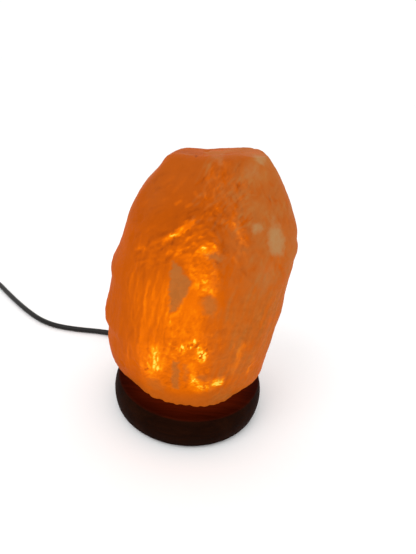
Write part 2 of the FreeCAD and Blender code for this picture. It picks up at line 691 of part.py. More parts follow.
def tube(label, part_name):
    path = doc.addObject("Part::Feature", label + "_path")
    points = route(part_name)
    path.Shape = rounded(points, label)
    ring = doc.addObject("Part::Circle", label + "_section")
    bind(ring, "Radius", d("lead_rad"))
    ring.Placement = FreeCAD.Placement(points[0], FreeCAD.Rotation(V(0, 0, 1), points[1] - points[0]))
    sweep = doc.addObject("Part::Sweep", label + "_sweep")
    sweep.Sections = [ring]
    sweep.Spine = (path, ["Edge%d" % (k + 1) for k in range(len(path.Shape.Edges))])
    sweep.Solid = True
    doc.recompute()
    want = math.pi * sheet.lead_rad ** 2 * path.Shape.Length
    print("%s: volume %.1f, section times length %.1f" % (label, sweep.Shape.Volume, want))
    if abs(sweep.Shape.Volume / want - 1) > 0.01:
        raise RuntimeError(label + " has the wrong volume")
    return give(label, sweep)


tube("lead_lamp_side", "lamp")
tube("lead_coil_side", "inner")
tube("lead_plug_side", "outer")
# the short stretch inside the base, from the grip to the sleeve
short = cylinder("lead_in_base_run", d("lead_rad"), 71.98 - 6.8, *around(6.8, TURN), d("lead_exit_high"),
                 120, V(1, 1, 1))
short.Placement = FreeCAD.Placement(short.Placement.Base, FreeCAD.Rotation(V(0, 0, 1), V(math.cos(math.radians(TURN)), math.sin(math.radians(TURN)), 0)))
give("lead_in_base", short)
# insulated cores from the end of the sheath to the terminals
cores = []
ex, ey = (v.number for v in around(6.8, TURN))
for k, (tx, off) in enumerate(((5.6, 1.0), (-6.2, -1.0))):
    a = math.radians(TURN + 90)
    p0 = V(ex + off * 1.05 * math.cos(a), ey + off * 1.05 * math.sin(a), 6.0)
    p3 = V(tx, -1.7, 10.0)
    p1 = p0 + V(math.cos(math.radians(TURN + 180)), math.sin(math.radians(TURN + 180)), 0) * 3.0
    p2 = p3 + V(0, 2.6, 0)
    curve = Part.BezierCurve()
    curve.setPoles([p0, p1, p2, p3])
    path = doc.addObject("Part::Feature", "core_path_%d" % k)
    path.Shape = Part.Wire([curve.toShape()])
    ring = doc.addObject("Part::Circle", "core_section_%d" % k)
    bind(ring, "Radius", 0.95)
    ring.Placement = FreeCAD.Placement(p0, FreeCAD.Rotation(V(0, 0, 1), p1 - p0))
    sw = doc.addObject("Part::Sweep", "core_sweep_%d" % k)
    sw.Sections = [ring]
    sw.Spine = (path, ["Edge1"])
    sw.Solid = True
    cores.append(sw)
give("lead_cores", group("core_set", *cores))

# tapered sleeve where the lead leaves the base, its rim held in the seat
sleeve = turned(
    "strain_relief_sleeve",
    [
        (d("lead_rad"), 0), (d("sleeve_rim_rad"), 0), (d("sleeve_rim_rad"), 2.4), (d("sleeve_root_rad"), 2.4),
        (d("sleeve_root_rad"), 7.0), (d("sleeve_tip_rad") + 0.2, d("sleeve_out") - d("sleeve_in") - 2.0),
        (d("sleeve_tip_rad") - 0.2, d("sleeve_out") - d("sleeve_in")), (d("lead_rad"), d("sleeve_out") - d("sleeve_in")),
    ],
)
sx, sy = around(d("sleeve_in"), TURN)
sleeve.Placement = FreeCAD.Placement(
    V(sx.number, sy.number, sheet.lead_exit_high),
    FreeCAD.Rotation(V(0, 0, 1), V(math.cos(math.radians(TURN)), math.sin(math.radians(TURN)), 0)),
)
give("strain_relief_sleeve", sleeve)

# the put-away length, wound in a ring, and the flat tie round it
coil = doc.addObject("Part::Torus", "lead_coil_ring")
bind(coil, "Radius1", d("coil_mean"))
bind(coil, "Radius2", d("coil_half"))
give("lead_coil", move(coil, d("coil_x"), d("coil_y"), d("coil_mid")))
tie_o = cylinder("tie_outer", d("coil_half") + d("tie_thick"), d("tie_wide"))
tie_i = cylinder("tie_inner", d("coil_half") + 0.02, d("tie_wide") + 2, z=-1)
tie = cut("coil_tie_band", tie_o, tie_i)
ta = math.radians(100)
tie.Placement = FreeCAD.Placement(
    V(sheet.coil_x + sheet.coil_mean * math.cos(ta) + 0.5 * sheet.tie_wide * math.sin(ta),
      sheet.coil_y + sheet.coil_mean * math.sin(ta) - 0.5 * sheet.tie_wide * math.cos(ta), sheet.coil_mid),
    FreeCAD.Rotation(V(0, 0, 1), V(-math.sin(ta), math.cos(ta), 0)),
)
give("coil_tie", tie)

# ---------------------------------------------------------------- in-line dimmer
# Local X runs along the lead, from the lamp to the plug; the whole is then turned.
DIM_TURN = -90.0


def case_half(label, z0, z1, closed_low):
    """One half of the dimmer's case: a rounded plate with a wall, open on the side of the joint."""
    b = body(label)
    hl, hw, rr = d("dim_long") * 0.5, d("dim_wide") * 0.5, d("dim_round")
    sk = sketch(b, label + "_outline", lift=z0)
    rectangle(sk, -hl, -hw, hl, hw)
    f_ = pad(b, label + "_block", sk, z1 - z0)
    doc.recompute()
    ups = edges_at(f_.Shape, lambda e: len(e.Vertexes) == 2 and abs(e.Vertexes[0].Z - e.Vertexes[1].Z) > 1)
    r_ = b.newObject("PartDesign::Fillet", label + "_corners")
    r_.Base = (f_, ups)
    bind(r_, "Radius", rr)
    doc.recompute()
    zz = z0.number if closed_low else z1.number
    rim = edges_at(r_.Shape, lambda e: all(abs(v_.Z - zz) < 1e-4 for v_ in e.Vertexes))
    e_ = b.newObject("PartDesign::Fillet", label + "_rim")
    e_.Base = (r_, rim)
    bind(e_, "Radius", 1.6 if closed_low else 3.0)
    doc.recompute()
    vol_ = e_.Shape.Volume
    t = d("dim_wall")
    sk = sketch(b, label + "_room", lift=z0 + t if closed_low else z0)
    rectangle(sk, -(hl - t - 6.5), -(hw - t), hl - t - 6.5, hw - t)
    vol_ = removed(b, pocket(b, label + "_hollow", sk, z1 - z0 - t), vol_, label + " hollow")
    b.Tip = b.Group[-1]
    return b


low_case = case_half("dimmer_case_low", as_size(0.0), d("dim_split"), True)
up_case = case_half("dimmer_case_up", d("dim_split"), d("dim_top"), False)


def along_x(name, radius, x0, x1, y, z):
    return cylinder(name, radius, as_size(x1) - x0, x0, y, z, 90, V(0, 1, 0))


entries = [
    along_x("dim_entry_0", d("lead_rad") + 0.05, -(d("dim_long") * 0.5) - 1, -(d("dim_long") * 0.5) + 10, 0, d("dim_split")),
    along_x("dim_entry_1", d("lead_rad") + 0.05, d("dim_long") * 0.5 - 10, d("dim_long") * 0.5 + 1, 0, d("dim_split")),
]
post_xy = [(24.6, 9.4), (-24.6, -9.4)]
low_holes = []
for k, (x, y) in enumerate(post_xy):
    low_holes.append(cylinder("dim_low_hole_%d" % k, 1.6, 10.0, x, y, -1.0))
    low_holes.append(cylinder("dim_low_pit_%d" % k, 3.0, 3.0, x, y, -1.0))
up_holes = [cylinder("dim_up_hole_%d" % k, 1.25, 8.0, x, y, d("dim_split") - 1) for k, (x, y) in enumerate(post_xy)]
shaft_hole = cylinder("dim_shaft_hole", 4.6, 6.0, 0, 0, d("dim_top") - 4)
give("dimmer_case_low", move(cut("dimmer_low_shell", low_case, *entries, *low_holes), d("dim_x"), d("dim_y"), 0, DIM_TURN))
entries_up = [
    along_x("dim_entry_2", d("lead_rad") + 0.05, -(d("dim_long") * 0.5) - 1, -(d("dim_long") * 0.5) + 10, 0, d("dim_split")),
    along_x("dim_entry_3", d("lead_rad") + 0.05, d("dim_long") * 0.5 - 10, d("dim_long") * 0.5 + 1, 0, d("dim_split")),
]
give("dimmer_case_up", move(cut("dimmer_up_shell", up_case, *entries_up, *up_holes, shaft_hole), d("dim_x"), d("dim_y"), 0, DIM_TURN))
dscrews = [pan_screw("dimmer_screw_%d" % k, 2.7, 1.6, 1.25, 8.0, 1.0, x, y, 2.0) for k, (x, y) in enumerate(post_xy)]
give("dimmer_screws", move(group("dimmer_screw_set", *dscrews), d("dim_x"), d("dim_y"), 0, DIM_TURN))
board = cut("dimmer_board_plate", block("dimmer_board_blank", 42.0, 24.0, 1.6, 0, 0, 8.2),
            cylinder("board_hole_0", 1.6, 4.0, 19.0, 10.0, 7.0), cylinder("board_hole_1", 1.6, 4.0, -19.0, -10.0, 7.0))
give("dimmer_board", move(board, d("dim_x"), d("dim_y"), 0, DIM_TURN))
pot = fuse("potentiometer_form",
           cylinder("pot_can", 7.6, 4.6, 0, 0, 9.8), cylinder("pot_bush", 4.2, d("dim_top") - 14.4, 0, 0, 14.4),
           block("pot_lug", 6.0, 6.0, 2.0, 0, -7.5, 9.8))
pot = cut("potentiometer_body", pot, cylinder("pot_bore", d("dial_stem") + 0.06, 12.0, 0, 0, 11.5))
give("potentiometer", move(pot, d("dim_x"), d("dim_y"), 0, DIM_TURN))
triac = fuse("triac_form", block("triac_tab", 10.0, 1.2, 6.5, -15.0, 7.8, 9.8), block("triac_case", 9.6, 3.4, 4.8, -15.0, 5.5, 9.8))
give("dimmer_triac", move(triac, d("dim_x"), d("dim_y"), 0, DIM_TURN))
capac = fuse("capacitor_form", block("capacitor_case", 10.0, 5.0, 5.4, 15.0, -6.5, 9.8), block("capacitor_foot", 8.4, 3.6, 0.4, 15.0, -6.5, 15.0))
give("dimmer_capacitor", move(capac, d("dim_x"), d("dim_y"), 0, DIM_TURN))

# dial with a fluted edge and a short index rib; its stem turns in the potentiometer
dial = body("dimmer_dial")
s = sketch(dial, "dial_disc", lift=d("dim_top") + d("dial_gap"))
circle(s, d("dial_rad"))
f = pad(dial, "dial_plate", s, d("dial_high"))
doc.recompute()
top_edge = edges_at(f.Shape, lambda e: e.Closed and abs(e.Vertexes[0].Z - sheet.dim_top - sheet.dial_gap - sheet.dial_high) < 1e-4)
fl = dial.newObject("PartDesign::Fillet", "dial_round")
fl.Base = (f, top_edge)
bind(fl, "Radius", 1.4)
doc.recompute()
vol = fl.Shape.Volume
s = sketch(dial, "dial_flute", lift=d("dim_top") + d("dial_gap"))
circle(s, 0.9, d("dial_rad") + 0.35, 0)
fp = pocket(dial, "dial_flute_cut", s, d("dial_high"))
vol = removed(dial, fp, vol, "dial flute")
pat = dial.newObject("PartDesign::PolarPattern", "dial_flutes")
pat.Originals = [fp]
pat.Axis = (s, ["N_Axis"])
pat.Angle = 360.0
pat.Occurrences = 24
dial.Tip = pat
vol = removed(dial, pat, vol, "dial flutes")
s = sketch(dial, "dial_stem_outline", lift=d("dim_top") + d("dial_gap") + 0.5)
circle(s, d("dial_stem"))
pad(dial, "dial_stem_pad", s, 6.6, down=True)
doc.recompute()
vol = dial.Shape.Volume
s = sketch(dial, "dial_index", lift=d("dim_top") + d("dial_gap") + d("dial_high") - 0.6)
rectangle(s, 4.0, -0.5, 10.2, 0.5)
fi = pocket(dial, "dial_index_groove", s, 0.6)
removed(dial, fi, vol, "dial index")
dial.Tip = fi
give("dimmer_dial", move(dial, d("dim_x"), d("dim_y"), 0, DIM_TURN))

# ---------------------------------------------------------------- two-pin plug
# Local Z runs from the lead into the plug's body and out along the pins.
plug = body("plug_body")


def rounded_section(owner, name, lift, hx, hy):
    """An eight-sided section: a flat with cut corners."""
    sk = sketch(owner, name, lift=lift)
    hx, hy = as_size(hx), as_size(hy)
    c = hy * 0.55
    polygon(sk, [(hx, -(hy - c)), (hx, hy - c), (hx - c, hy), (-(hx - c), hy), (-hx, hy - c), (-hx, -(hy - c)), (-(hx - c), -hy), (hx - c, -hy)])
    return sk


hw, ht = d("body_wide") * 0.5, d("body_thick") * 0.5
secs = [
    rounded_section(plug, "plug_sec_0", as_size(0), 4.6, 4.6),
    rounded_section(plug, "plug_sec_1", as_size(4.0), 5.4, 5.2),
    rounded_section(plug, "plug_sec_2", as_size(14.0), hw, ht - 0.6),
    rounded_section(plug, "plug_sec_3", d("body_long") - 6.0, hw + 0.6, ht),
    rounded_section(plug, "plug_sec_4", d("body_long"), hw - 0.4, ht - 0.6),
]
loft = plug.newObject("PartDesign::AdditiveLoft", "plug_form")
loft.Profile = secs[0]
loft.Sections = secs[1:]
loft.Ruled = True
doc.recompute()
plug.Placement = FreeCAD.Placement(V(0, 0, 0), FreeCAD.Rotation())
holes = [cylinder("plug_pin_hole_%d" % k, d("pin_root_rad"), 10.0, sgn * d("pin_gap") * 0.5, 0, d("body_long") - 8.0) for k, sgn in enumerate((1, -1))]
tail_hole = cylinder("plug_tail_hole", d("lead_rad") + 0.02, 9.0, 0, 0, -1.0)
plug_cut = cut("plug_body_cut", plug, *holes, tail_hole)
rot = FreeCAD.Rotation(V(0, 0, 1), V(0, -1, 0))
py = d("plug_y") - d("tail_long")


def lay(obj):
    obj.Placement = FreeCAD.Placement(V(sheet.plug_x, py.number, sheet.plug_high), rot)
    obj.setExpression("Placement.Base.x", "dims.plug_x")
    obj.setExpression("Placement.Base.y", py.text)
    obj.setExpression("Placement.Base.z", "dims.plug_high")
    return obj


give("plug_body", lay(plug_cut))
pins = []
for k, sgn in enumerate((1, -1)):
    root_p = cylinder("plug_pin_root_%d" % k, d("pin_root_rad"), 8.3, sgn * d("pin_gap") * 0.5, 0, d("body_long") - 8.0)
    low_p = cylinder("plug_pin_low_%d" % k, d("pin_rad"), d("pin_long") - 0.3 - 1.4, sgn * d("pin_gap") * 0.5, 0, d("body_long") + 0.3)
    tip_p = cone("plug_pin_tip_%d" % k, d("pin_rad"), 1.0, 1.4, sgn * d("pin_gap") * 0.5, 0, d("body_long") + d("pin_long") - 1.4)
    pins.append(fuse("plug_pin_%d" % k, root_p, low_p, tip_p))
give("plug_pins", lay(group("plug_pin_set", *pins)))
# ribbed tail between the lead and the plug's body
tail_pts = [(d("lead_rad") + 0.02, 0), (3.3, 0)]
for k in range(4):
    z0 = 1.6 + k * 3.4
    r0 = 3.35 + 0.22 * k
    tail_pts += [(r0, z0), (r0 + 0.1, z0 + 1.9), (r0 - 0.5, z0 + 2.1), (r0 - 0.45, z0 + 3.1)]
tail_pts += [(4.3, 15.4), (4.3, d("tail_long")), (d("lead_rad") + 0.02, d("tail_long"))]
tail = turned("plug_tail", tail_pts)
tail.Placement = FreeCAD.Placement(V(sheet.plug_x, sheet.plug_y, sheet.plug_high), rot)
tail.setExpression("Placement.Base.x", "dims.plug_x")
tail.setExpression("Placement.Base.y", "dims.plug_y")
give("plug_tail", tail)

# ---------------------------------------------------------------- checks and export
doc.recompute()
for obj in doc.Objects:
    if "Invalid" in obj.State or "Error" in obj.State:
        raise RuntimeError("%s (%s) failed: %s" % (obj.Name, obj.Label, obj.State))
os.makedirs("parts", exist_ok=True)
for label, obj in SUBPARTS.items():
    shape = obj.Shape
    if shape.isNull() or not shape.isValid() or not shape.Solids:
        raise RuntimeError("%s has no valid solid" % label)
    shape.exportStep("parts/%s.step" % label)
    box = shape.BoundBox
    print("%-22s solids %d volume %10.1f  x %.1f..%.1f y %.1f..%.1f z %.2f..%.2f" % (
        label, len(shape.Solids), shape.Volume, box.XMin, box.XMax, box.YMin, box.YMax, box.ZMin, box.ZMax))
print("nodes", len(SUBPARTS))
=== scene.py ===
import bpy
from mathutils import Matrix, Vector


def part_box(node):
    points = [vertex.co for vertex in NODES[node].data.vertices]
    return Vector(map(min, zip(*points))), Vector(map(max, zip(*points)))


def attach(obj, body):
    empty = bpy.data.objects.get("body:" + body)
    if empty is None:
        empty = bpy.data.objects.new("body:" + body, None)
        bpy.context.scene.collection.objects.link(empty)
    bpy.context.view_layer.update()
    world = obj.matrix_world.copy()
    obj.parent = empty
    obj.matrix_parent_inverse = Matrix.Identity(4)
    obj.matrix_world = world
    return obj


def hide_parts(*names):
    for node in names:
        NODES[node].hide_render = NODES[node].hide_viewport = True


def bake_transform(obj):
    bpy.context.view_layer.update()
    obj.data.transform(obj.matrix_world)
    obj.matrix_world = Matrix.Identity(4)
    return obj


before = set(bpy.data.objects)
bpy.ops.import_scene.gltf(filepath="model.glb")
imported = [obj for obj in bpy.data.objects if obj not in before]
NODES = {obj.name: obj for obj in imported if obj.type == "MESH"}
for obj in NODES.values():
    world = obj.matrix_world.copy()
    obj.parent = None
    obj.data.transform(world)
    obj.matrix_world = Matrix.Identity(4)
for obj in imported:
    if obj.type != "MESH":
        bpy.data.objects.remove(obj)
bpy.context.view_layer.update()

import bpy, bmesh, math
import numpy as np
from mathutils import Vector, Matrix

# Salt crystal lamp. Everything is in metres in the row frame; lists in MM are millimetres.
MM = 0.001
scene = bpy.context.scene


def add(obj):
    scene.collection.objects.link(obj)
    return obj


# ------------------------------------------------------------------ camera
def make_camera():
    pitch, roll = math.radians(25.35), math.radians(6.44)
    ahead = Vector((0, math.cos(pitch), -math.sin(pitch)))
    right = Vector((1, 0, 0))
    up = right.cross(ahead)
    x = right * math.cos(roll) + up * math.sin(roll)
    y = up * math.cos(roll) - right * math.sin(roll)
    data = bpy.data.cameras.new("camera")
    data.sensor_fit, data.sensor_width = "AUTO", 36.0
    data.lens = 36.0 * 416.0 / 554.0
    data.clip_start, data.clip_end = 0.01, 50.0
    cam = add(bpy.data.objects.new("camera", data))
    place = Matrix((x, y, -ahead)).transposed().to_4x4()
    place.translation = Vector((6.87, -293.69, 256.84)) * MM
    cam.matrix_world = place
    scene.camera = cam


make_camera()

# ------------------------------------------------------------------ cords
LEAD_R = 2.6
LAMP_SIDE = [
    (-50.9, 50.9, 6.0), (-67.2, 67.2, 6.0), (-90.0, 78.4, 2.6), (-136.0, 76.5, 2.6),
    (-165.0, 83.6, 2.6), (-197.1, 107.4, 2.6), (-232.0, 139.2, 2.6), (-259.0, 165.4, 2.6),
    (-289.0, 164.0, 2.6), (-309.4, 141.2, 7.0), (-309.4, 112.0, 7.0),
]
COIL_SIDE = [(-309.4, 62.0, 7.0), (-309.4, 32.0, 7.0), (-288.0, 15.0, 2.7)]
PLUG_SIDE = [(-222.0, 9.0, 4.5), (-202.0, -4.0, 3.0), (-195.5, -26.0, 7.0), (-195.5, -44.0, 7.0)]
COIL_AT = (-252.0, 40.0)
# where each turn of the coil lies in the bundle: (distance from the coil's axis, height)
TURNS_AT = [(33.8, 3.1), (28.6, 3.1), (26.0, 7.6), (31.2, 7.6), (28.6, 12.1), (33.8, 12.1), (36.4, 7.9)]
COIL_FROM, COIL_TO, PER_TURN = 252.2, 281.0 + 6 * 360.0, 16


def coil_line():
    """Points of the coil's turns. Each turn steps over to its next place a little earlier than the one before it, so that no two meet."""
    steps = int(round((COIL_TO - COIL_FROM) / 360.0 * PER_TURN))
    reach = 1.0 / math.cos(math.pi / PER_TURN)
    out = []
    for i in range(steps + 1):
        angle = COIL_FROM + (COIL_TO - COIL_FROM) * i / steps
        place = 0.0
        for j in range(len(TURNS_AT) - 1):
            middle = COIL_FROM + 360.0 * (j + 1) - 12.0 - 30.0 * j
            t = min(1.0, max(0.0, (angle - middle) / 44.0 + 0.5))
            place += t * t * (3 - 2 * t)
        k = min(int(place), len(TURNS_AT) - 2)
        (r0, z0), (r1, z1) = TURNS_AT[k], TURNS_AT[k + 1]
        r, z = r0 + (r1 - r0) * (place - k), z0 + (z1 - z0) * (place - k)
        a = math.radians(angle)
        out.append((COIL_AT[0] + r * reach * math.cos(a), COIL_AT[1] + r * reach * math.sin(a), z))
    return out


def lead(name, points):
    """A round lead along a smooth spline, and the points that it follows, in metres."""
    data = bpy.data.curves.new(name + "_line", "CURVE")
    data.dimensions = "3D"
    line = data.splines.new("NURBS")
    line.points.add(len(points) - 1)
    for target, p in zip(line.points, points):
        target.co = (p[0] * MM, p[1] * MM, p[2] * MM, 1.0)
    line.order_u = 3
    line.use_endpoint_u = True
    line.resolution_u = 10
    data.resolution_u = 10
    route = bpy.data.objects.new(name + "_line", data)
    mesh = bpy.data.meshes.new_from_object(route)
    path = [v.co.copy() for v in mesh.vertices]
    bpy.data.meshes.remove(mesh)
    bpy.data.objects.remove(route)
    bpy.data.curves.remove(data)
    return tube_along(name, [c / MM for c in path], LEAD_R, 20), [tuple(c) for c in path]


def tube_along(name, path, radius, sides=16):
    """A closed tube of even radius along points in mm."""
    pts = [Vector(p) for p in path]
    b = bmesh.new()
    rows, side = [], None
    for i, c in enumerate(pts):
        ahead = (pts[min(i + 1, len(pts) - 1)] - pts[max(i - 1, 0)]).normalized()
        if side is None:
            side = ahead.orthogonal().normalized()
        side = (side - ahead * side.dot(ahead)).normalized()
        other = ahead.cross(side)
        rows.append([
            b.verts.new((c + (side * math.cos(2 * math.pi * k / sides) + other * math.sin(2 * math.pi * k / sides)) * radius) * MM)
            for k in range(sides)
        ])
    for u, v in zip(rows, rows[1:]):
        for k in range(sides):
            b.faces.new((u[k], u[(k + 1) % sides], v[(k + 1) % sides], v[k]))
    b.faces.new(rows[0][::-1])
    b.faces.new(rows[-1])
    bmesh.ops.recalc_face_normals(b, faces=b.faces)
    mesh = bpy.data.meshes.new(name)
    b.to_mesh(mesh)
    b.free()
    mesh.polygons.foreach_set("use_smooth", [True] * len(mesh.polygons))
    return add(bpy.data.objects.new(name, mesh))


lead_a, path_a = lead("mains_lead_lamp_to_dimmer", LAMP_SIDE)
lead_b, path_b = lead("mains_lead_dimmer_to_plug", COIL_SIDE + coil_line() + PLUG_SIDE)
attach(lead_a, "lamp")
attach(lead_b, "lamp")
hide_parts("lead_lamp_side")
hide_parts("lead_coil_side", "lead_coil", "lead_plug_side")


# ------------------------------------------------------------------ node graphs
class Graph:
    """Short calls for building a material's nodes."""

    def __init__(self, name):
        self.mat = bpy.data.materials.new(name)
        self.mat.use_nodes = True
        self.tree = self.mat.node_tree
        self.shader = next(n for n in self.tree.nodes if n.type == "BSDF_PRINCIPLED")
        self.coord = None

    def new(self, kind, **props):
        n = self.tree.nodes.new(kind)
        for k, v in props.items():
            setattr(n, k, v)
        return n

    def put(self, socket, value):
        if isinstance(value, bpy.types.NodeSocket):
            self.tree.links.new(value, socket)
        elif value is not None:
            socket.default_value = value

    def set(self, **values):
        for k, v in values.items():
            self.put(self.shader.inputs[k.replace("_", " ")], v)

    def place(self):
        """The point in millimetres in the row frame."""
        if self.coord is None:
            t = self.new("ShaderNodeTexCoord")
            self.coord = self.vec("SCALE", t.outputs["Object"], scale=1000.0)
        return self.coord

    def math(self, op, a, b=None, c=None, clamp=False):
        n = self.new("ShaderNodeMath", operation=op, use_clamp=clamp)
        for k, v in enumerate((a, b, c)):
            self.put(n.inputs[k], v)
        return n.outputs[0]

    def vec(self, op, a, b=None, scale=None):
        n = self.new("ShaderNodeVectorMath", operation=op)
        self.put(n.inputs[0], a)
        if b is not None:
            self.put(n.inputs[1], b)
        if scale is not None:
            self.put(n.inputs["Scale"], scale)
        return n.outputs["Value"] if op in ("LENGTH", "DOT_PRODUCT", "DISTANCE") else n.outputs["Vector"]

    def split(self, v):
        n = self.new("ShaderNodeSeparateXYZ")
        self.put(n.inputs[0], v)
        return n.outputs

    def join(self, x, y, z):
        n = self.new("ShaderNodeCombineXYZ")
        for k, v in enumerate((x, y, z)):
            self.put(n.inputs[k], v)
        return n.outputs[0]

    def noise(self, v, scale=1.0, detail=2.0, rough=0.5, bend=0.0, colour=False):
        n = self.new("ShaderNodeTexNoise")
        self.put(n.inputs["Vector"], v)
        n.inputs["Scale"].default_value = scale
        n.inputs["Detail"].default_value = detail
        n.inputs["Roughness"].default_value = rough
        n.inputs["Distortion"].default_value = bend
        return n.outputs["Color" if colour else "Fac"]

    def cells(self, v, scale=1.0, feature="F1", out="Distance"):
        n = self.new("ShaderNodeTexVoronoi", feature=feature)
        self.put(n.inputs["Vector"], v)
        n.inputs["Scale"].default_value = scale
        return n.outputs[out]

    def span(self, x, lo, hi, to_lo=0.0, to_hi=1.0, smooth=True):
        n = self.new("ShaderNodeMapRange", interpolation_type="SMOOTHSTEP" if smooth else "LINEAR", clamp=True)
        for k, v in zip(("Value", "From Min", "From Max", "To Min", "To Max"), (x, lo, hi, to_lo, to_hi)):
            self.put(n.inputs[k], v)
        return n.outputs["Result"]

    def ramp(self, x, stops, kind="LINEAR"):
        n = self.new("ShaderNodeValToRGB")
        n.color_ramp.interpolation = kind
        e = n.color_ramp.elements
        while len(e) < len(stops):
            e.new(0.5)
        for k, (at, colour) in enumerate(stops):
            e[k].position = at
            e[k].color = (*colour, 1.0)
        self.put(n.inputs[0], x)
        return n.outputs[0]

    def mix(self, t, a, b, kind="MIX"):
        n = self.new("ShaderNodeMix", data_type="RGBA", blend_type=kind)
        self.put(n.inputs[0], t)
        self.put(n.inputs[6], a if isinstance(a, bpy.types.NodeSocket) else (*a, 1.0))
        self.put(n.inputs[7], b if isinstance(b, bpy.types.NodeSocket) else (*b, 1.0))
        return n.outputs[2]

    def bump(self, height, depth_mm, strength=1.0, under=None):
        n = self.new("ShaderNodeBump")
        n.inputs["Strength"].default_value = strength
        n.inputs["Distance"].default_value = depth_mm * MM
        self.put(n.inputs["Height"], height)
        if under is not None:
            self.put(n.inputs["Normal"], under)
        return n.outputs[0]


def srgb(r, g, b):
    """Linear colour from 0-255 screen values."""
    return tuple(c / 255 / 12.92 if c / 255 <= 0.04045 else ((c / 255 + 0.055) / 1.055) ** 2.4 for c in (r, g, b))


def times(colour, k):
    return tuple(c * k for c in colour)


# ------------------------------------------------------------------ salt block: shape
class Noise3:
    """Gradient noise on points in rows, about -0.7 to 0.7."""

    def __init__(self, seed):
        rng = np.random.default_rng(seed)
        self.order = rng.permutation(256)
        g = rng.normal(size=(256, 3))
        self.slope = g / np.linalg.norm(g, axis=1)[:, None]

    def __call__(self, p):
        cell = np.floor(p).astype(int)
        f = p - cell
        u = f * f * f * (f * (f * 6 - 15) + 10)
        out = np.zeros(len(p))
        for dx in (0, 1):
            for dy in (0, 1):
                for dz in (0, 1):
                    h = self.order[(cell[:, 0] + dx) & 255]
                    h = self.order[(h + cell[:, 1] + dy) & 255]
                    h = self.order[(h + cell[:, 2] + dz) & 255]
                    w = (u[:, 0] if dx else 1 - u[:, 0]) * (u[:, 1] if dy else 1 - u[:, 1]) * (u[:, 2] if dz else 1 - u[:, 2])
                    out += w * ((f - (dx, dy, dz)) * self.slope[h]).sum(1)
        return out


def layers(noise, p, n, gain=0.5):
    total, k, a = 0.0, 1.0, 1.0
    for _ in range(n):
        total = total + a * noise(p * k)
        k, a = k * 2.03, a * gain
    return total


def step(x, lo, hi):
    t = np.clip((x - lo) / (hi - lo), 0, 1)
    return t * t * (3 - 2 * t)


def read_points(mesh):
    co = np.empty(len(mesh.vertices) * 3)
    mesh.vertices.foreach_get("co", co)
    return co.reshape(-1, 3) / MM


def write_points(mesh, p):
    mesh.vertices.foreach_set("co", (p * MM).astype(np.float32).ravel())
    mesh.update()


def remeshed(name, source, voxel_mm):
    """A copy of a CAD node's mesh as an even mesh of small quads."""
    mesh = source.data.copy()
    b = bmesh.new()
    b.from_mesh(mesh)
    bmesh.ops.remove_doubles(b, verts=b.verts, dist=1e-7)
    b.to_mesh(mesh)
    b.free()
    temp = add(bpy.data.objects.new(name + "_source", mesh))
    m = temp.modifiers.new("remesh", "REMESH")
    m.mode = "VOXEL"
    m.voxel_size = voxel_mm * MM
    m.adaptivity = 0.0
    bpy.context.view_layer.update()
    out = bpy.data.meshes.new_from_object(temp.evaluated_get(bpy.context.evaluated_depsgraph_get()))
    bpy.data.objects.remove(temp)
    out.name = name
    out.materials.clear()
    out.polygons.foreach_set("use_smooth", [True] * len(out.polygons))
    return add(bpy.data.objects.new(name, out))


def edge_lists(mesh):
    e = np.empty(len(mesh.edges) * 2, int)
    mesh.edges.foreach_get("vertices", e)
    return e.reshape(-1, 2)


def relaxed(p, edges, weight, times_):
    """Moves each point towards the middle of its neighbours, weight 0 to 1 for each."""
    n = len(p)
    count = np.bincount(edges.ravel(), minlength=n)[:, None]
    for _ in range(times_):
        total = np.zeros_like(p)
        for a, b in ((0, 1), (1, 0)):
            for k in range(3):
                total[:, k] += np.bincount(edges[:, a], weights=p[edges[:, b], k], minlength=n)
        p = p + weight[:, None] * (total / np.maximum(count, 1) - p)
    return p


# flats hewn on the block: direction outwards and how deep each cuts, in mm
FLATS = [
    ((0.62, -0.66, 0.42), 1.6), ((-0.66, -0.62, 0.42), 1.6), ((0.83, -0.55, -0.06), 1.2),
    ((-0.80, -0.60, 0.05), 1.4), ((0.78, 0.58, 0.20), 3.0), ((-0.72, 0.66, 0.20), 3.0),
    ((-0.70, 0.60, -0.38), 2.4), ((0.66, 0.64, -0.40), 2.4), ((0.02, 0.98, 0.20), 1.6),
    ((0.30, 0.80, 0.52), 2.0), ((-0.34, 0.78, 0.52), 2.2), ((0.55, -0.72, -0.42), 1.2),
    ((-0.52, -0.74, -0.42), 1.0), ((0.05, -0.92, 0.38), 1.2), ((0.15, -0.70, 0.70), 1.4),
    ((-0.36, -0.60, 0.72), 1.2), ((0.55, -0.40, 0.74), 1.0),
]
# how far the left and right outlines stand out (+) or are broken away (-) at each height, in mm
LEFT_EDGE = [(36, 0.0), (58, -0.2), (66, -0.1), (72, -1.0), (76, -1.3), (80, -0.4), (84, 1.2), (90, 1.3), (95, 0.6),
             (101, -0.5), (112, -0.6), (119, -0.4), (122, 0.7), (126, 1.3), (130, 1.1), (134, 0.2), (140, -0.8),
             (147, -0.4), (154, 0.3), (165, 0.3), (178, -0.6), (190, 0.2), (200, -0.6), (206, 0.0)]
RIGHT_EDGE = [(36, 0.0), (48, 0.3), (66, 0.0), (78, 0.3), (90, -0.3), (104, 0.5), (112, 0.0), (118, -0.5), (126, -0.3),
              (134, 0.0), (140, 0.4), (146, 0.0), (151, 0.8), (156, 0.7), (160, -0.4), (168, 0.2), (177, -0.5), (186, -0.2),
              (200, 0.3), (206, 0.0)]


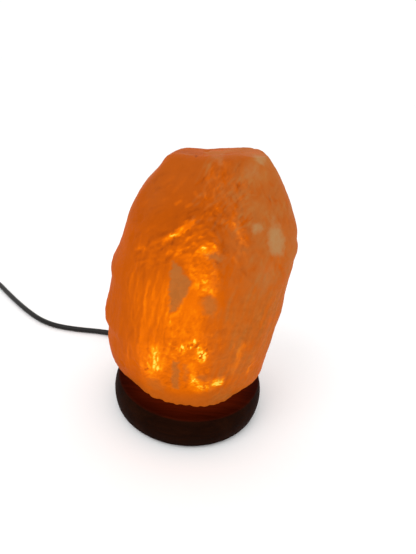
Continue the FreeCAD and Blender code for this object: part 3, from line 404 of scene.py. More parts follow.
def shape_salt(obj):
    mesh = obj.data
    p = read_points(mesh)
    start = p.copy()
    r = np.hypot(p[:, 0], p[:, 1])
    z = p[:, 2]
    # the cavity and the plug holes stay as they are; only the outside is worked
    outside = np.maximum(step(r, 27.0, 31.0), step(z, 146.0, 149.0))
    for a in (15.0, 135.0, 255.0):
        x, y = 35 * math.cos(math.radians(a + 60)), 35 * math.sin(math.radians(a + 60))
        outside *= np.maximum(step(np.hypot(p[:, 0] - x, p[:, 1] - y), 5.0, 6.5), step(z, 57.0, 60.0))
    above = step(z, 27.4, 31.0)
    edges = edge_lists(mesh)
    p = relaxed(p, edges, outside * above * (0.35 + 0.65 * step(z, 178.0, 196.0)), 14)
    for way, deep in FLATS:
        n = np.array(way) / np.linalg.norm(way)
        s = p @ n
        over = s - (s.max() - deep)
        soft = 1.1
        cut = np.where(over > soft, over, np.where(over < -soft, 0.0, (over + soft) ** 2 / (4 * soft)))
        p = p - n * (cut * outside * above)[:, None]
    # the top's left shoulder and its right corner stand up a little
    p[:, 2] += 2.4 * step(-p[:, 1], -2.0, 13.0) * (1 - step(-p[:, 1], 20.0, 34.0)) * step(z, 192.0, 205.0)
    p[:, 2] += (2.2 * step(-p[:, 0], 4.0, 26.0) + 0.9 * step(p[:, 0], 14.0, 30.0)) * step(z, 190.0, 206.0)
    sides = np.where(p[:, 0] < 0, np.interp(z, *np.array(LEFT_EDGE).T), np.interp(z, *np.array(RIGHT_EDGE).T))
    p[:, 0] += np.sign(p[:, 0]) * sides * step(np.abs(p[:, 0]) / np.maximum(r, 1), 0.62, 0.92) * outside * above
    write_points(mesh, p)
    normals = np.empty(len(mesh.vertices) * 3)
    mesh.vertices.foreach_get("normal", normals)
    normals = normals.reshape(-1, 3)
    x, y, z = p.T
    around = np.hypot(normals[:, 0], normals[:, 1])
    front = step(-y, 5.0, 30.0)
    broad, fine, tall, chip = Noise3(11), Noise3(12), Noise3(13), Noise3(14)
    # broad hollows and swellings, long upright ridges, shell-like arcs, chips and grain
    swell = layers(broad, p / 24.0, 2)
    ridges = layers(tall, np.stack([x - 0.06 * z, y, z * 0.045], 1) / 4.2, 2, 0.6)
    ridges *= around * (1 - 0.8 * step(z, 118, 150))
    ring = np.hypot(x - 3, z - 104)
    turn = np.arctan2(z - 104, x - 3)
    arcs = layers(fine, np.stack([ring / 4.6 + 0.8 * swell, turn * 3.0, y * 0.03], 1), 3, 0.6)
    arcs *= step(z, 122, 146) * (1 - step(z, 190, 204)) * (0.45 + 0.55 * front)
    lumps = chip(p / 10.0)
    chips = step(lumps, 0.26, 0.42) * step(z, 34, 50)
    grit = layers(fine, p / 2.7, 2, 0.65)
    side = step(np.abs(x), 45, 62)
    detail = mark_glow_and_inclusions(mesh, start)
    flaked = relaxed(np.stack([np.clip(detail, -0.3, 0.5)] * 3, 1), edges, np.full(len(p), 0.6), 2)[:, 0]
    move = 0.9 * swell * (1 - 0.6 * side) + 0.50 * ridges + 0.35 * arcs - 1.1 * chips * (1 - side) + 0.20 * grit + 1.1 * flaked
    # the lower edge is chipped in small scallops
    bearing = np.arctan2(y, x) * 45.0
    wave = broad(np.stack([bearing / 8.0, bearing * 0 + 3.3, bearing * 0 + 1.1], 1))
    bite = fine(np.stack([bearing / 4.1, bearing * 0 + 7.3, z / 6.0], 1))
    low = 1 - step(z, 27.0, 35.0)
    move *= outside * above
    p = p + normals * move[:, None]
    out = p[:, :2] / np.maximum(np.hypot(p[:, 0], p[:, 1]), 1e-6)[:, None]
    scallop = 1.6 * wave + 1.7 * np.where(bite > 0, bite * 0.7, bite * 1.3)
    p[:, :2] += out * (scallop * low * step(r, 38.5, 42.0) * (start[:, 2] > 27.05))[:, None]
    flat = (start[:, 2] <= 27.05)
    p[flat, :2] += out[flat] * (scallop * low * step(r, 38.5, 42.0))[flat][:, None]
    p = relaxed(p, edges, outside * above * 0.35, 1)
    lowest = start[:, 2] <= 27.6
    p[lowest, 2] = start[lowest, 2]
    p[:, 2] = np.maximum(p[:, 2], 27.0)
    lo, hi = np.array(frame_box("salt_crystal")) / MM
    p = np.clip(p, lo, hi)
    write_points(mesh, p)


def store(mesh, name, values):
    layer = mesh.attributes.new(name, "FLOAT", "POINT")
    layer.data.foreach_set("value", values.astype(np.float32))


def frame_box(node):
    return [list(corner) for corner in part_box(node)]


# ------------------------------------------------------------------ salt block: the painted glow of the bulb through it, and what shows inside it
# Drawn on the front as x, z in mm. Most of it is made of many small splinters with crisp and soft sides.
def along_line(u, v, points, full, none):
    """1 within full of a line through points, falling to 0 at none."""
    best = np.full(len(u), 1e9)
    for (x0, z0), (x1, z1) in zip(points, points[1:] or points):
        dx, dz = x1 - x0, z1 - z0
        t = np.clip(((u - x0) * dx + (v - z0) * dz) / max(dx * dx + dz * dz, 1e-9), 0, 1)
        best = np.minimum(best, np.hypot(u - x0 - t * dx, v - z0 - t * dz))
    return 1 - step(best, full, none)


def within(u, v, outline, soft):
    """1 inside an outline, falling to 0 outside it over soft mm."""
    inside, far = np.zeros(len(u), bool), np.full(len(u), 1e9)
    for (x0, z0), (x1, z1) in zip(outline, outline[1:] + outline[:1]):
        dx, dz = x1 - x0, z1 - z0
        if abs(dz) > 1e-9:
            inside ^= ((z0 > v) != (z1 > v)) & (u < dx * (v - z0) / dz + x0)
        t = np.clip(((u - x0) * dx + (v - z0) * dz) / max(dx * dx + dz * dz, 1e-9), 0, 1)
        far = np.minimum(far, np.hypot(u - x0 - t * dx, v - z0 - t * dz))
    return step(np.where(inside, far, -far), -soft / 2, soft / 2)


def splinters(u, v, rows):
    """The sum of short splinters, each given by x, z, bearing, length, width and strength: crisp along one side, fading across."""
    total = np.zeros(len(u))
    for x, z, way, long, wide, k in rows:
        reach = long / 2 + wide
        i = np.nonzero((np.abs(u - x) < reach) & (np.abs(v - z) < reach))[0]
        c, s = math.cos(way), math.sin(way)
        a = (u[i] - x) * c + (v[i] - z) * s
        b = (v[i] - z) * c - (u[i] - x) * s + 0.35 * a * a / long
        total[i] += k * (1 - step(np.abs(a), 0.2 * long, 0.5 * long)) * step(b, -0.8, 0.3) * (1 - step(b, 0.35 * wide, wide))
    return total


def facets(u, v, n, box, lean, seed, stretch=1.0):
    """Flat facets as in crumpled foil, about -0.5 to 0.5: one tone each, leaning across it."""
    rng = np.random.default_rng(seed)
    x0, x1, z0, z1 = box
    s = np.stack([rng.uniform(x0, x1, n), rng.uniform(z0, z1, n)], 1)
    tone, tip = rng.uniform(-0.5, 0.5, n), rng.normal(size=(n, 2)) * lean
    out = np.zeros(len(u))
    i = np.nonzero((u > x0) & (u < x1) & (v > z0) & (v < z1))[0]
    for part in np.array_split(i, max(1, len(i) // 4000)):
        du, dv = u[part, None] - s[:, 0], v[part, None] - s[:, 1]
        k = (du * du + dv * dv / stretch ** 2).argmin(1)
        row = np.arange(len(part))
        out[part] = tone[k] + du[row, k] * tip[k, 0] + dv[row, k] * tip[k, 1]
    return np.clip(out, -0.7, 0.7)


def strewn(rng, n, spread, way, turn, long, wide, strength, dark=0.0):
    """n splinters strewn by spread(rng), about a bearing or a bearing that depends on the place, in degrees."""
    rows = []
    for _ in range(n):
        x, z = spread(rng)
        bearing = way(x, z) if callable(way) else way
        k = rng.uniform(*strength) * (-1 if rng.random() < dark else 1)
        rows.append((x, z, math.radians(bearing + rng.normal() * turn), rng.uniform(*long), rng.uniform(*wide), k))
    return rows


def over_box(x0, x1, z0, z1):
    return lambda rng: (rng.uniform(x0, x1), rng.uniform(z0, z1))


def by_line(points, off):
    """Places strewn along a line, off mm from it on the average."""
    pts = np.array(points, float)
    run = np.concatenate([[0], np.cumsum(np.hypot(*np.diff(pts, axis=0).T))])

    def spread(rng):
        at = rng.uniform(0, run[-1])
        return np.interp(at, run, pts[:, 0]) + rng.normal() * off, np.interp(at, run, pts[:, 1]) + rng.normal() * off

    return spread


def arch_top(x):
    return np.interp(x, (-44, -25, -10, 4, 20, 32), (150, 166, 180, 187, 183, 164))


def arch_slope(x, z):
    return np.interp(x, (-44, -20, -6, 4, 12, 22, 32), (34, 38, 40, 4, -36, -56, -60))


def under_arch(rng):
    x = rng.uniform(-42, 30)
    depth = 34.0 - 0.45 * abs(x - 3)
    return x, arch_top(x) - depth * rng.random() ** 0.8


def upright(x, z):
    return 90 - np.interp(x, (-50, -25, 0, 25, 55), (3, 6, 6, 8, 12))


def fanned(x, z):
    """Bearing away from the bulb."""
    return math.degrees(math.atan2(z - 62, x - 2))


# patches of brighter salt: outline, softness of the edge and strength
BRIGHT = [
    ([(-6.4, 178.6), (-4.6, 174.6), (-8.6, 169.6), (-14.2, 165.2), (-20.0, 164.6), (-16.4, 169.6), (-12.4, 173.4), (-9.0, 176.6)], 1.4, 0.36),
    ([(-14.6, 167.8), (-18.0, 163.0), (-25.6, 159.6), (-20.0, 166.4)], 1.8, 0.20),
    ([(4.2, 165.8), (7.8, 165.4), (11.4, 161.8), (9.0, 158.2), (3.2, 157.6), (-3.0, 159.0)], 2.2, 0.28),
    ([(-12.0, 154.6), (-4.0, 158.0), (4.1, 157.5), (10.5, 151.0), (13.9, 138.0), (12.0, 130.0), (3.0, 132.0), (-2.0, 139.0), (-7.5, 146.6)], 7.0, 0.27),
    ([(-12.0, 166.0), (-2.0, 171.5), (9.0, 168.0), (4.0, 158.0), (-10.0, 154.0), (-26.0, 152.0), (-24.0, 158.0)], 9.0, 0.13),
    ([(16.6, 181.6), (19.4, 183.2), (27.6, 169.6), (28.6, 164.0), (24.6, 167.4), (20.4, 174.6)], 2.2, 0.20),
    ([(-2.0, 135.5), (-5.2, 129.6), (-8.8, 118.0), (-15.4, 110.6), (-16.0, 98.0), (6.0, 98.0), (4.0, 120.0), (2.0, 131.0)], 6.0, 0.10),
    ([(3.5, 208.4), (12.8, 208.4), (12.4, 205.6), (4.5, 205.4)], 2.4, 0.14),
    ([(36.4, 97.0), (38.4, 92.0), (36.6, 74.0), (33.8, 63.0), (29.6, 68.0), (32.6, 84.0), (34.4, 92.0)], 3.0, 0.26),
    ([(48.4, 78.0), (47.8, 69.0), (45.0, 59.0), (41.4, 62.0), (42.0, 70.0), (45.0, 77.0)], 3.4, 0.20),
    ([(-36.0, 84.0), (-30.0, 90.0), (-18.0, 88.0), (-15.0, 70.0), (-18.0, 52.0), (-30.0, 52.0), (-35.6, 62.0)], 7.0, 0.06),
]
# bright splits: line, full width, reach and strength
SPLITS = [
    ([(-2.6, 136.0), (-5.4, 130.3), (-7.0, 126.6), (-9.0, 118.5), (-14.5, 112.6), (-16.1, 106.5)], 0.3, 1.7, 0.12),
    ([(-9.4, 164.8), (-4.3, 169.7), (2.4, 171.6), (7.0, 169.7), (11.2, 166.5)], 0.3, 1.6, 0.09),
    ([(-6.6, 161.8), (0.4, 165.6), (6.8, 164.6), (12.0, 159.0)], 0.3, 1.5, 0.14),
    ([(-26.7, 160.9), (-32.5, 156.9), (-37.8, 151.6)], 0.3, 1.4, 0.09),
    ([(-18.1, 184.9), (-15.4, 186.6)], 0.4, 1.4, 0.22), ([(-11.4, 184.2), (-8.4, 186.1)], 0.4, 1.5, 0.20),
    ([(-7.0, 192.6), (-5.4, 190.0), (-3.8, 190.6)], 0.4, 1.5, 0.15),
    ([(-31.8, 134.0), (-33.4, 113.0), (-36.4, 76.0)], 0.3, 1.4, 0.09),
    ([(-25.3, 142.0), (-26.9, 132.5), (-27.9, 122.0)], 0.3, 1.3, 0.12),
    ([(-22.6, 110.0), (-23.9, 99.4), (-25.3, 91.0)], 0.3, 1.3, 0.11),
    ([(-20.5, 137.4), (-21.6, 120.0), (-22.0, 106.0)], 0.3, 1.4, 0.08),
    ([(-17.6, 150.0), (-18.4, 134.0), (-17.4, 122.0)], 0.2, 1.2, 0.09),
    ([(24.6, 168.4), (29.4, 163.4)], 0.3, 1.4, 0.12), ([(19.6, 36.5), (25.0, 43.9)], 0.2, 1.4, 0.10),
    ([(40.0, 104.0), (41.0, 88.0)], 0.3, 1.8, 0.10), ([(29.4, 108.0), (30.4, 92.0)], 0.3, 1.8, 0.09),
]
# where the bulb shines straight through: line, full width, reach and strength
HOT = [
    ([(-25.0, 84.0), (-25.0, 71.7), (-27.0, 58.0)], 1.0, 10.5, 0.12), ([(-20.0, 80.0), (-22.6, 66.0)], 0.3, 3.0, 0.08),
    ([(7.8, 87.0), (8.6, 79.6)], 0.8, 5.4, 0.27), ([(9.4, 89.6), (4.4, 94.0), (-2.0, 93.0), (-6.0, 87.0)], 0.3, 6.0, 0.13),
    ([(5.0, 57.6), (10.3, 46.9), (15.9, 50.4), (20.5, 56.5)], 1.0, 9.0, 0.25), ([(22.6, 57.0), (25.6, 61.4)], 0.7, 5.0, 0.27),
    ([(2.4, 73.0), (4.4, 62.0)], 0.4, 4.2, 0.18), ([(-30.0, 59.0), (-27.6, 64.0)], 0.2, 4.0, 0.08),
]
# grey and cloudy salt: outline, softness of the edge and strength
CLOUDY = [
    ([(-16.9, 150.6), (-12.9, 148.4), (-8.6, 144.1), (-2.6, 137.8), (-5.5, 131.0), (-8.1, 124.3), (-11.7, 118.8), (-15.2, 115.4), (-16.2, 124.4), (-17.4, 134.7), (-17.2, 143.4)], 2.0, 0.90),
    ([(4.4, 126.0), (8.3, 130.3), (13.4, 129.2), (15.6, 122.6), (12.4, 115.6), (7.2, 117.6)], 5.0, 0.70),
    ([(-12.0, 76.4), (-6.9, 77.2), (-5.6, 46.0), (-10.8, 44.6)], 2.4, 0.80),
    ([(28.4, 144.0), (34.0, 145.0), (39.6, 135.1), (40.0, 120.0), (36.0, 108.0), (29.6, 118.8)], 9.0, 0.28),
    ([(19.0, 84.0), (25.0, 92.0), (31.6, 91.0), (29.6, 82.0), (24.0, 78.0)], 7.0, 0.42),
    ([(-30.0, 50.0), (-22.0, 54.0), (-16.0, 46.0), (-18.0, 36.0), (-30.0, 40.0)], 8.0, 0.45),
    ([(3.6, 157.0), (10.3, 159.4), (17.4, 155.6), (12.0, 153.4)], 3.4, 0.62),
    ([(7.0, 63.0), (13.6, 66.0), (16.6, 60.0), (10.0, 58.6)], 4.0, 0.50),
    ([(-3.2, 75.0), (-0.4, 75.0), (0.2, 55.0), (-2.2, 55.0)], 2.4, 0.40),
    ([(-42.0, 190.0), (-30.0, 200.0), (-22.0, 186.0), (-38.0, 172.0)], 12.0, 0.10),
    ([(24.0, 163.0), (31.0, 160.0), (29.0, 154.0), (22.0, 158.0)], 5.0, 0.25),
]
# nearly white salt at the skin
PALE = [
    ([(30.4, 177.6), (34.9, 178.6), (38.6, 174.4), (34.4, 172.6), (31.0, 174.0)], 3.4, 0.72),
    ([(44.6, 176.0), (49.6, 175.0), (54.4, 166.4), (54.0, 156.6), (46.4, 158.4), (42.6, 167.7)], 5.0, 0.80),
    ([(43.2, 182.0), (46.6, 181.6), (47.0, 174.6), (44.6, 175.0)], 3.0, 0.30),
    ([(27.0, 215.0), (36.4, 215.0), (35.4, 208.6), (28.8, 210.6)], 4.0, 0.80),
    ([(23.0, 208.8), (31.0, 208.6), (32.0, 203.0), (25.0, 204.0)], 5.0, 0.26),
    ([(-1.0, 212.0), (8.4, 212.0), (7.6, 206.6), (3.0, 207.6)], 4.0, 0.34),
    ([(40.0, 150.0), (47.0, 152.0), (50.0, 138.0), (43.0, 132.0)], 9.0, 0.16),
]


def inside_the_front(u, v, ragged_u, ragged_v):
    """The light that shows at each place on the front, and the same without the broad changes."""
    rng = np.random.default_rng(5)
    fine = np.zeros(len(u))
    # shell-shaped flakes that arch over the bright middle, smaller and stronger towards it
    fine += splinters(u, v, strewn(rng, 210, under_arch, arch_slope, 13, (4, 12), (1.2, 3.6), (0.03, 0.11), 0.42))
    fine += splinters(u, v, strewn(rng, 110, by_line([(-22, 158), (-6, 164), (6, 162), (12, 154)], 4.0), arch_slope, 20, (3, 7), (0.9, 2.2), (0.05, 0.16), 0.38))
    fine += splinters(u, v, strewn(rng, 34, by_line([(16.8, 181.0), (21.0, 176.0), (28.6, 163.4)], 1.8), -58, 22, (2, 6), (0.9, 1.6), (0.06, 0.16), 0.25))
    fine += splinters(u, v, strewn(rng, 90, over_box(-46, -6, 158, 200), 38, 9, (5, 15), (1.0, 2.4), (0.02, 0.06), 0.5))
    # hair-like strokes on the upper right
    hairy = [strewn(rng, 120, over_box(-2, 26, 176, 206), b, 13, (5, 14), (0.8, 1.2), (0.04, 0.10), 0.25) for b in (50, 124)]
    fine += splinters(u, v, hairy[0] + hairy[1])
    fine += splinters(u, v, strewn(rng, 150, over_box(22, 60, 140, 208), 104, 24, (4, 11), (0.8, 1.7), (0.03, 0.08), 0.5))
    # crumpled foil
    foil = within(u, v, [(-13, 157), (0, 162), (12, 160), (16, 148), (15, 128), (2, 128), (-4, 138)], 8.0)
    fine += foil * (0.15 * facets(u, v, 150, (-26, 26, 118, 168), 0.10, 6) + 0.17 * facets(u, v, 620, (-26, 26, 118, 168), 0.20, 7))
    low = within(u, v, [(-18, 112), (-8, 122), (4, 114), (22, 104), (28, 60), (20, 44), (-14, 44), (-34, 56), (-34, 84), (-20, 92)], 12.0)
    fine += low * (0.08 * facets(u, v, 460, (-44, 40, 34, 128), 0.10, 8, 1.5) + 0.09 * facets(u, v, 1300, (-44, 40, 34, 128), 0.16, 9, 1.3))
    fine += splinters(u, v, strewn(rng, 240, over_box(-18, 26, 46, 120), fanned, 26, (2, 6), (0.8, 1.6), (0.03, 0.09), 0.45))
    # upright splits, uneven in width and reach
    fine += splinters(u, v, strewn(rng, 120, over_box(-46, -14, 62, 150), upright, 2.4, (10, 52), (0.9, 2.8), (0.02, 0.075), 0.42))
    fine += splinters(u, v, strewn(rng, 80, over_box(22, 64, 44, 138), upright, 3.5, (9, 40), (0.9, 3.0), (0.02, 0.065), 0.42))
    fine += splinters(u, v, strewn(rng, 22, over_box(28, 48, 58, 98), upright, 4.0, (8, 24), (1.0, 2.6), (0.05, 0.12), 0.2))
    fine += splinters(u, v, strewn(rng, 30, over_box(-66, -44, 60, 150), upright, 3.0, (14, 44), (1.2, 3.4), (0.01, 0.035), 0.5))
    # feathers and sparks where the bulb shines through
    fine += splinters(u, v, strewn(rng, 46, by_line([(-25.0, 84), (-24.2, 72), (-26, 58)], 3.2), 82, 17, (3, 10), (0.8, 1.5), (0.04, 0.12), 0.30))
    fine += splinters(u, v, strewn(rng, 16, by_line([(-25.4, 84), (-24.6, 66)], 1.9), 84, 12, (3, 9), (0.8, 1.4), (0.05, 0.12)))
    fine += splinters(u, v, strewn(rng, 60, by_line([(-6.4, 85), (-4.0, 91.5), (2, 94.4), (7, 92.4), (10.4, 88), (8.6, 80)], 1.5), fanned, 24, (1.6, 4.4), (0.8, 1.2), (0.08, 0.32), 0.26))
    fine += splinters(u, v, strewn(rng, 34, by_line([(9.6, 88.0), (8.2, 80)], 1.3), 74, 26, (1.4, 3.4), (0.8, 1.2), (0.10, 0.32), 0.34))
    fine += splinters(u, v, strewn(rng, 70, by_line([(3.0, 62), (6.0, 54.0), (11, 48.5), (18, 53.0), (25.6, 60.4)], 2.3), fanned, 30, (1.4, 4.0), (0.8, 1.2), (0.07, 0.25), 0.30))
    fine += splinters(u, v, strewn(rng, 30, over_box(-14, -2, 76, 92), 60, 40, (1.5, 4.5), (0.8, 1.3), (0.06, 0.16), 0.5))
    for outline, soft, k in BRIGHT:
        fine += k * within(ragged_u, ragged_v, outline, soft)
    for line, full, none, k in SPLITS:
        fine += k * along_line(u, v, line, full, none)
    hot = np.zeros(len(u))
    for line, full, none, k in HOT:
        hot += k * along_line(ragged_u, ragged_v, line, full, none)
    # dark hollows between the flakes, which are painted shade: less glow there, and the same marks press the hollows
    # into the surface a little; and a few dark grains
    for outline, soft, k in (
        ([(-3, 178), (8, 179), (17, 176), (13, 171.4), (2, 173.6)], 4.0, 0.10), ([(12, 168.6), (18, 166), (22, 156), (15, 158)], 4.0, 0.10),
        ([(-14.6, 165.0), (-8, 168.6), (-3, 172), (-10, 163.6)], 2.0, 0.12), ([(-27, 158.4), (-17, 162.4), (-12, 160), (-22, 155.6)], 3.0, 0.07),
    ):
        fine -= k * within(ragged_u, ragged_v, outline, soft)
    for x, z, r in ((1.6, 93.4, 0.8), (4.4, 92.4, 0.7), (8.9, 84.6, 0.6), (7.4, 82.8, 0.5), (-29.4, 62.6, 1.0), (-31, 60.6, 0.8), (-9.6, 208.6, 1.6), (11, 89.4, 0.6)):
        fine -= 0.34 * along_line(u, v, [(x, z), (x + 0.4, z + r)], 0.5, 1.4)
    # broad changes
    glow = 0.232 + 0.085 * step(-v, -186, -150)
    side = step(u, -54, -36) * (1 - 0.5 * step(u, 8, 32))
    glow += 0.140 * side * step(-v, -166, -120)
    glow += 0.075 * step(u, -39, -31) * (1 - step(u, 4, 22)) * step(-v, -156, -114)
    glow += 0.085 * np.exp(-(((u + 4) / 34) ** 2 + ((v - 84) / 40) ** 2))
    glow -= 0.13 * step(-v, -46, -32) + 0.10 * step(-v, -66, -46) * (1 - step(u, -40, -30))
    return glow + hot + fine, fine + hot


def mark_glow_and_inclusions(mesh, p):
    """Writes the painted glow of the bulb through the block, and what shows inside it, to the mesh: lit, milk and pale.
    """
    warp = [Noise3(seed) for seed in (31, 32, 33, 34)]
    x, y, z = p.T
    coarse = [layers(warp[k], p * 0.13 + 5.0 * k, 3) for k in (0, 1)]
    ragged = [layers(warp[k + 1], p * 0.42 + 9.0 - 6.0 * k, 3, 0.65) for k in (0, 1)]
    u, v = x + 2.0 * coarse[0] + 1.5 * ragged[0], z + 2.0 * coarse[1] + 1.5 * ragged[1]
    near_u, near_v = x + 0.7 * coarse[0] + 0.25 * ragged[0], z + 0.7 * coarse[1] + 0.25 * ragged[1]
    front = step(-y, 2.0, 24.0)
    seen = np.nonzero(y < -1.0)[0]
    heat, detail = np.zeros(len(p)), np.zeros(len(p))
    a, b = inside_the_front(near_u[seen], near_v[seen], u[seen], v[seen])
    heat[seen], detail[seen] = a, b
    # the other sides: the same light through softer, broader changes
    turn = np.arctan2(y, x)
    streaky = layers(warp[3], np.stack([np.cos(turn) * 14 + 0.02 * z, np.sin(turn) * 14, z * 0.02], 1) * 1.3, 3, 0.6)
    cloudy = layers(warp[0], p / 34.0, 3)
    chipped = layers(warp[2], p / np.array([6.0, 6.0, 9.0]), 3, 0.6)
    other = 0.30 + 0.20 * np.exp(-((z - 78) / 46) ** 2) + 0.20 * cloudy + 0.13 * streaky * step(-z, -170, -120) + 0.10 * chipped
    heat = heat * front + other * (1 - front)
    heat += 0.07 * layers(warp[1], p / 16.0, 3) + 0.04 * layers(warp[2], p / 3.4, 2)
    milk = 0.50 * step(x, 4, 38) * (0.72 + 0.28 * step(z, 54, 96)) + 0.12 * step(z, 176, 204) + 0.30 * step(-z, -46, -30)
    milk *= 1 - 0.55 * step(-x, 46, 62)
    milk += 0.42 * layers(warp[3], p / 12.0, 3, 0.6) * step(x, -4, 30)
    rng = np.random.default_rng(41)
    bands = strewn(rng, 90, over_box(14, 66, 40, 150), upright, 3.0, (12, 46), (1.6, 5.0), (0.06, 0.20), 0.5)
    bands += strewn(rng, 110, over_box(-6, 30, 174, 208), 55, 16, (4, 12), (0.9, 1.8), (0.10, 0.30), 0.3)
    bands += strewn(rng, 150, over_box(8, 60, 140, 208), 112, 24, (4, 13), (0.9, 2.6), (0.08, 0.26), 0.5)
    milk[seen] += splinters(near_u[seen], near_v[seen], bands) * front[seen]
    pale = np.zeros(len(p))
    for table, total in ((CLOUDY, milk), (PALE, pale)):
        for outline, soft, k in table:
            total[seen] = np.maximum(total[seen], k * within(u[seen], v[seen], outline, soft) * front[seen] + 0.35 * total[seen])
    back = (1 - front) * step(layers(warp[0], p / 26.0 + 4.0, 3), 0.06, 0.34)
    milk = np.maximum(milk, 0.6 * back)
    pale = np.maximum(pale, 0.5 * (1 - front) * step(layers(warp[1], p / 15.0 + 7.0, 3), 0.24, 0.5))
    store(mesh, "lit", heat)
    store(mesh, "milk", np.clip(milk, 0, 1))
    store(mesh, "pale", np.clip(pale, 0, 1))
    return detail * front


salt = remeshed("salt_block", NODES["salt_crystal"], 1.02)
shape_salt(salt)
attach(salt, "lamp")
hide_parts("salt_crystal")


# ------------------------------------------------------------------ salt block: material
def salt_material():
    g = Graph("rock_salt_lit")

    def more(a, b, k):
        return g.math("MULTIPLY_ADD", b, k, a)

    def about(f, middle=0.5):
        return g.math("SUBTRACT", f, middle)

    def mark(name):
        return g.new("ShaderNodeAttribute", attribute_name=name).outputs["Fac"]

    p = g.place()
    x, y, z = g.split(p)[:3]
    grain = g.noise(p, 0.8, 5.0, 0.7)
    cloud = g.noise(p, 0.05, 4.0, 0.6, 0.4)
    tilted = g.math("SUBTRACT", x, g.math("MULTIPLY", z, 0.10))
    thin = g.noise(g.join(g.math("MULTIPLY", tilted, 0.8), y, g.math("MULTIPLY", z, 0.02)), 1.0, 4.0, 0.6)
    heat = mark("lit")
    heat = more(heat, about(grain), 0.10)
    heat = more(heat, about(g.noise(p, 2.2, 2.0, 0.6)), 0.05)
    heat = more(heat, g.math("MULTIPLY", about(thin), g.span(z, 150.0, 120.0)), 0.08)
    warm = g.ramp(heat, [
        (0.0, srgb(140, 56, 8)), (0.20, srgb(179, 80, 9)), (0.36, srgb(195, 88, 7)), (0.52, srgb(213, 98, 4)),
        (0.68, srgb(238, 113, 2)), (0.80, srgb(251, 132, 3)), (0.91, srgb(255, 172, 22)), (1.0, srgb(255, 226, 92)),
    ])
    # milky places, grey where thick and beige at the skin, with fine strokes in them
    hair = g.noise(g.vec("MULTIPLY", p, (0.55, 0.55, 0.26)), 1.0, 5.0, 0.75, 1.4)
    soft = g.math("MULTIPLY_ADD", about(hair), 0.8, g.math("MULTIPLY_ADD", about(cloud), 0.7, 1.0))
    milk = g.math("MINIMUM", g.math("MULTIPLY", mark("milk"), soft), 0.95)
    deep = g.mix(g.span(g.noise(p, 0.22, 4.0, 0.65), 0.34, 0.66), srgb(170, 98, 42), srgb(190, 108, 46))
    colour = g.mix(milk, warm, g.mix(g.span(z, 110.0, 165.0), deep, srgb(180, 110, 56)))
    colour = g.mix(g.math("MULTIPLY", mark("pale"), soft, clamp=True), colour, srgb(178, 132, 90))
    height = more(more(g.math("MULTIPLY", thin, 0.5), hair, 0.3), grain, 0.7)
    # painted glow: the colour from the lit map is emitted, and a weaker copy of it is the base colour as well
    g.set(Base_Color=g.mix(1.0, colour, (0.25, 0.24, 0.20), "MULTIPLY"), Emission_Color=g.mix(1.0, colour, (0.78, 0.77, 0.66), "MULTIPLY"),
          Emission_Strength=1.0, Roughness=g.span(grain, 0.3, 0.7, 0.45, 0.62), IOR=1.54,
          Specular_IOR_Level=0.012, Normal=g.bump(height, 0.30, 0.8))
    return g.mat


salt.data.materials.append(salt_material())


# ------------------------------------------------------------------ other materials
def wood_material():
    g = Graph("dark_stained_wood")
    p = g.place()
    x, y, z = g.split(p)[:3]
    wander = g.noise(p, 0.03, 2.0)
    across = g.math("MULTIPLY_ADD", wander, 10.0, y)
    grain = g.noise(g.join(g.math("MULTIPLY", x, 0.03), g.math("MULTIPLY", across, 0.55), g.math("MULTIPLY", z, 0.55)), 1.0, 5.0, 0.65)
    pores = g.noise(g.join(g.math("MULTIPLY", x, 0.16), g.math("MULTIPLY", across, 2.6), g.math("MULTIPLY", z, 2.6)), 1.0, 2.0, 0.5)
    bands = g.noise(g.join(g.math("MULTIPLY", x, 0.004), g.math("MULTIPLY", across, 0.10), g.math("MULTIPLY", z, 0.10)), 1.0, 2.0)
    tone = g.math("MULTIPLY_ADD", bands, 0.5, g.math("MULTIPLY", grain, 0.5))
    colour = g.ramp(tone, [(0.30, (0.0055, 0.0014, 0.0004)), (0.5, (0.0115, 0.0028, 0.0008)), (0.72, (0.021, 0.0055, 0.0018))])
    colour = g.mix(g.span(pores, 0.62, 0.72), colour, (0.004, 0.0011, 0.0003))
    far = g.math("SQRT", g.math("ADD", g.math("MULTIPLY", x, x), g.math("MULTIPLY", y, y)))
    top = g.span(z, 25.6, 26.7)
    # the top takes the block's red light, and so does the worn upper edge a little
    colour = g.mix(top, colour, g.mix(1.0, colour, (1.5, 0.8, 0.4), "MULTIPLY"))
    lit = g.mix(g.span(far, 44.0, 60.0), (0.060, 0.0040, 0.0001), (0.012, 0.0005, 0.0))
    lit = g.mix(1.0, lit, g.ramp(grain, [(0.3, (0.62, 0.62, 0.62)), (0.7, (1.15, 1.15, 1.15))]), "MULTIPLY")
    glow = g.mix(top, (0.0, 0.0, 0.0), lit)
    height = g.math("MULTIPLY_ADD", pores, -0.6, grain)
    g.set(Base_Color=colour, Roughness=g.span(grain, 0.3, 0.7, 0.50, 0.70), Specular_IOR_Level=0.012,
          Emission_Color=glow, Emission_Strength=1.0, Normal=g.bump(height, 0.16, 0.7))
    return g.mat


def moulded(name, colour, rough=(0.34, 0.5), grain=1.6, deep=0.05, shine=0.4, wear=0.18):
    """Plastic or rubber with a fine moulded texture and faint smears."""
    g = Graph(name)
    p = g.place()
    fine = g.noise(p, grain, 3.0, 0.6)
    smear = g.noise(p, 0.07, 3.0, 0.6)
    tone = g.math("MULTIPLY_ADD", fine, 0.35, g.math("MULTIPLY", smear, 0.65))
    shade = g.ramp(tone, [(0.3, times(colour, 1 - wear)), (0.7, tuple(min(1.0, c * (1 + wear) + 0.002) for c in colour))])
    g.set(Base_Color=shade, Roughness=g.span(smear, 0.3, 0.7, *rough), Specular_IOR_Level=shine,
          Normal=g.bump(fine, deep, 0.6))
    return g.mat


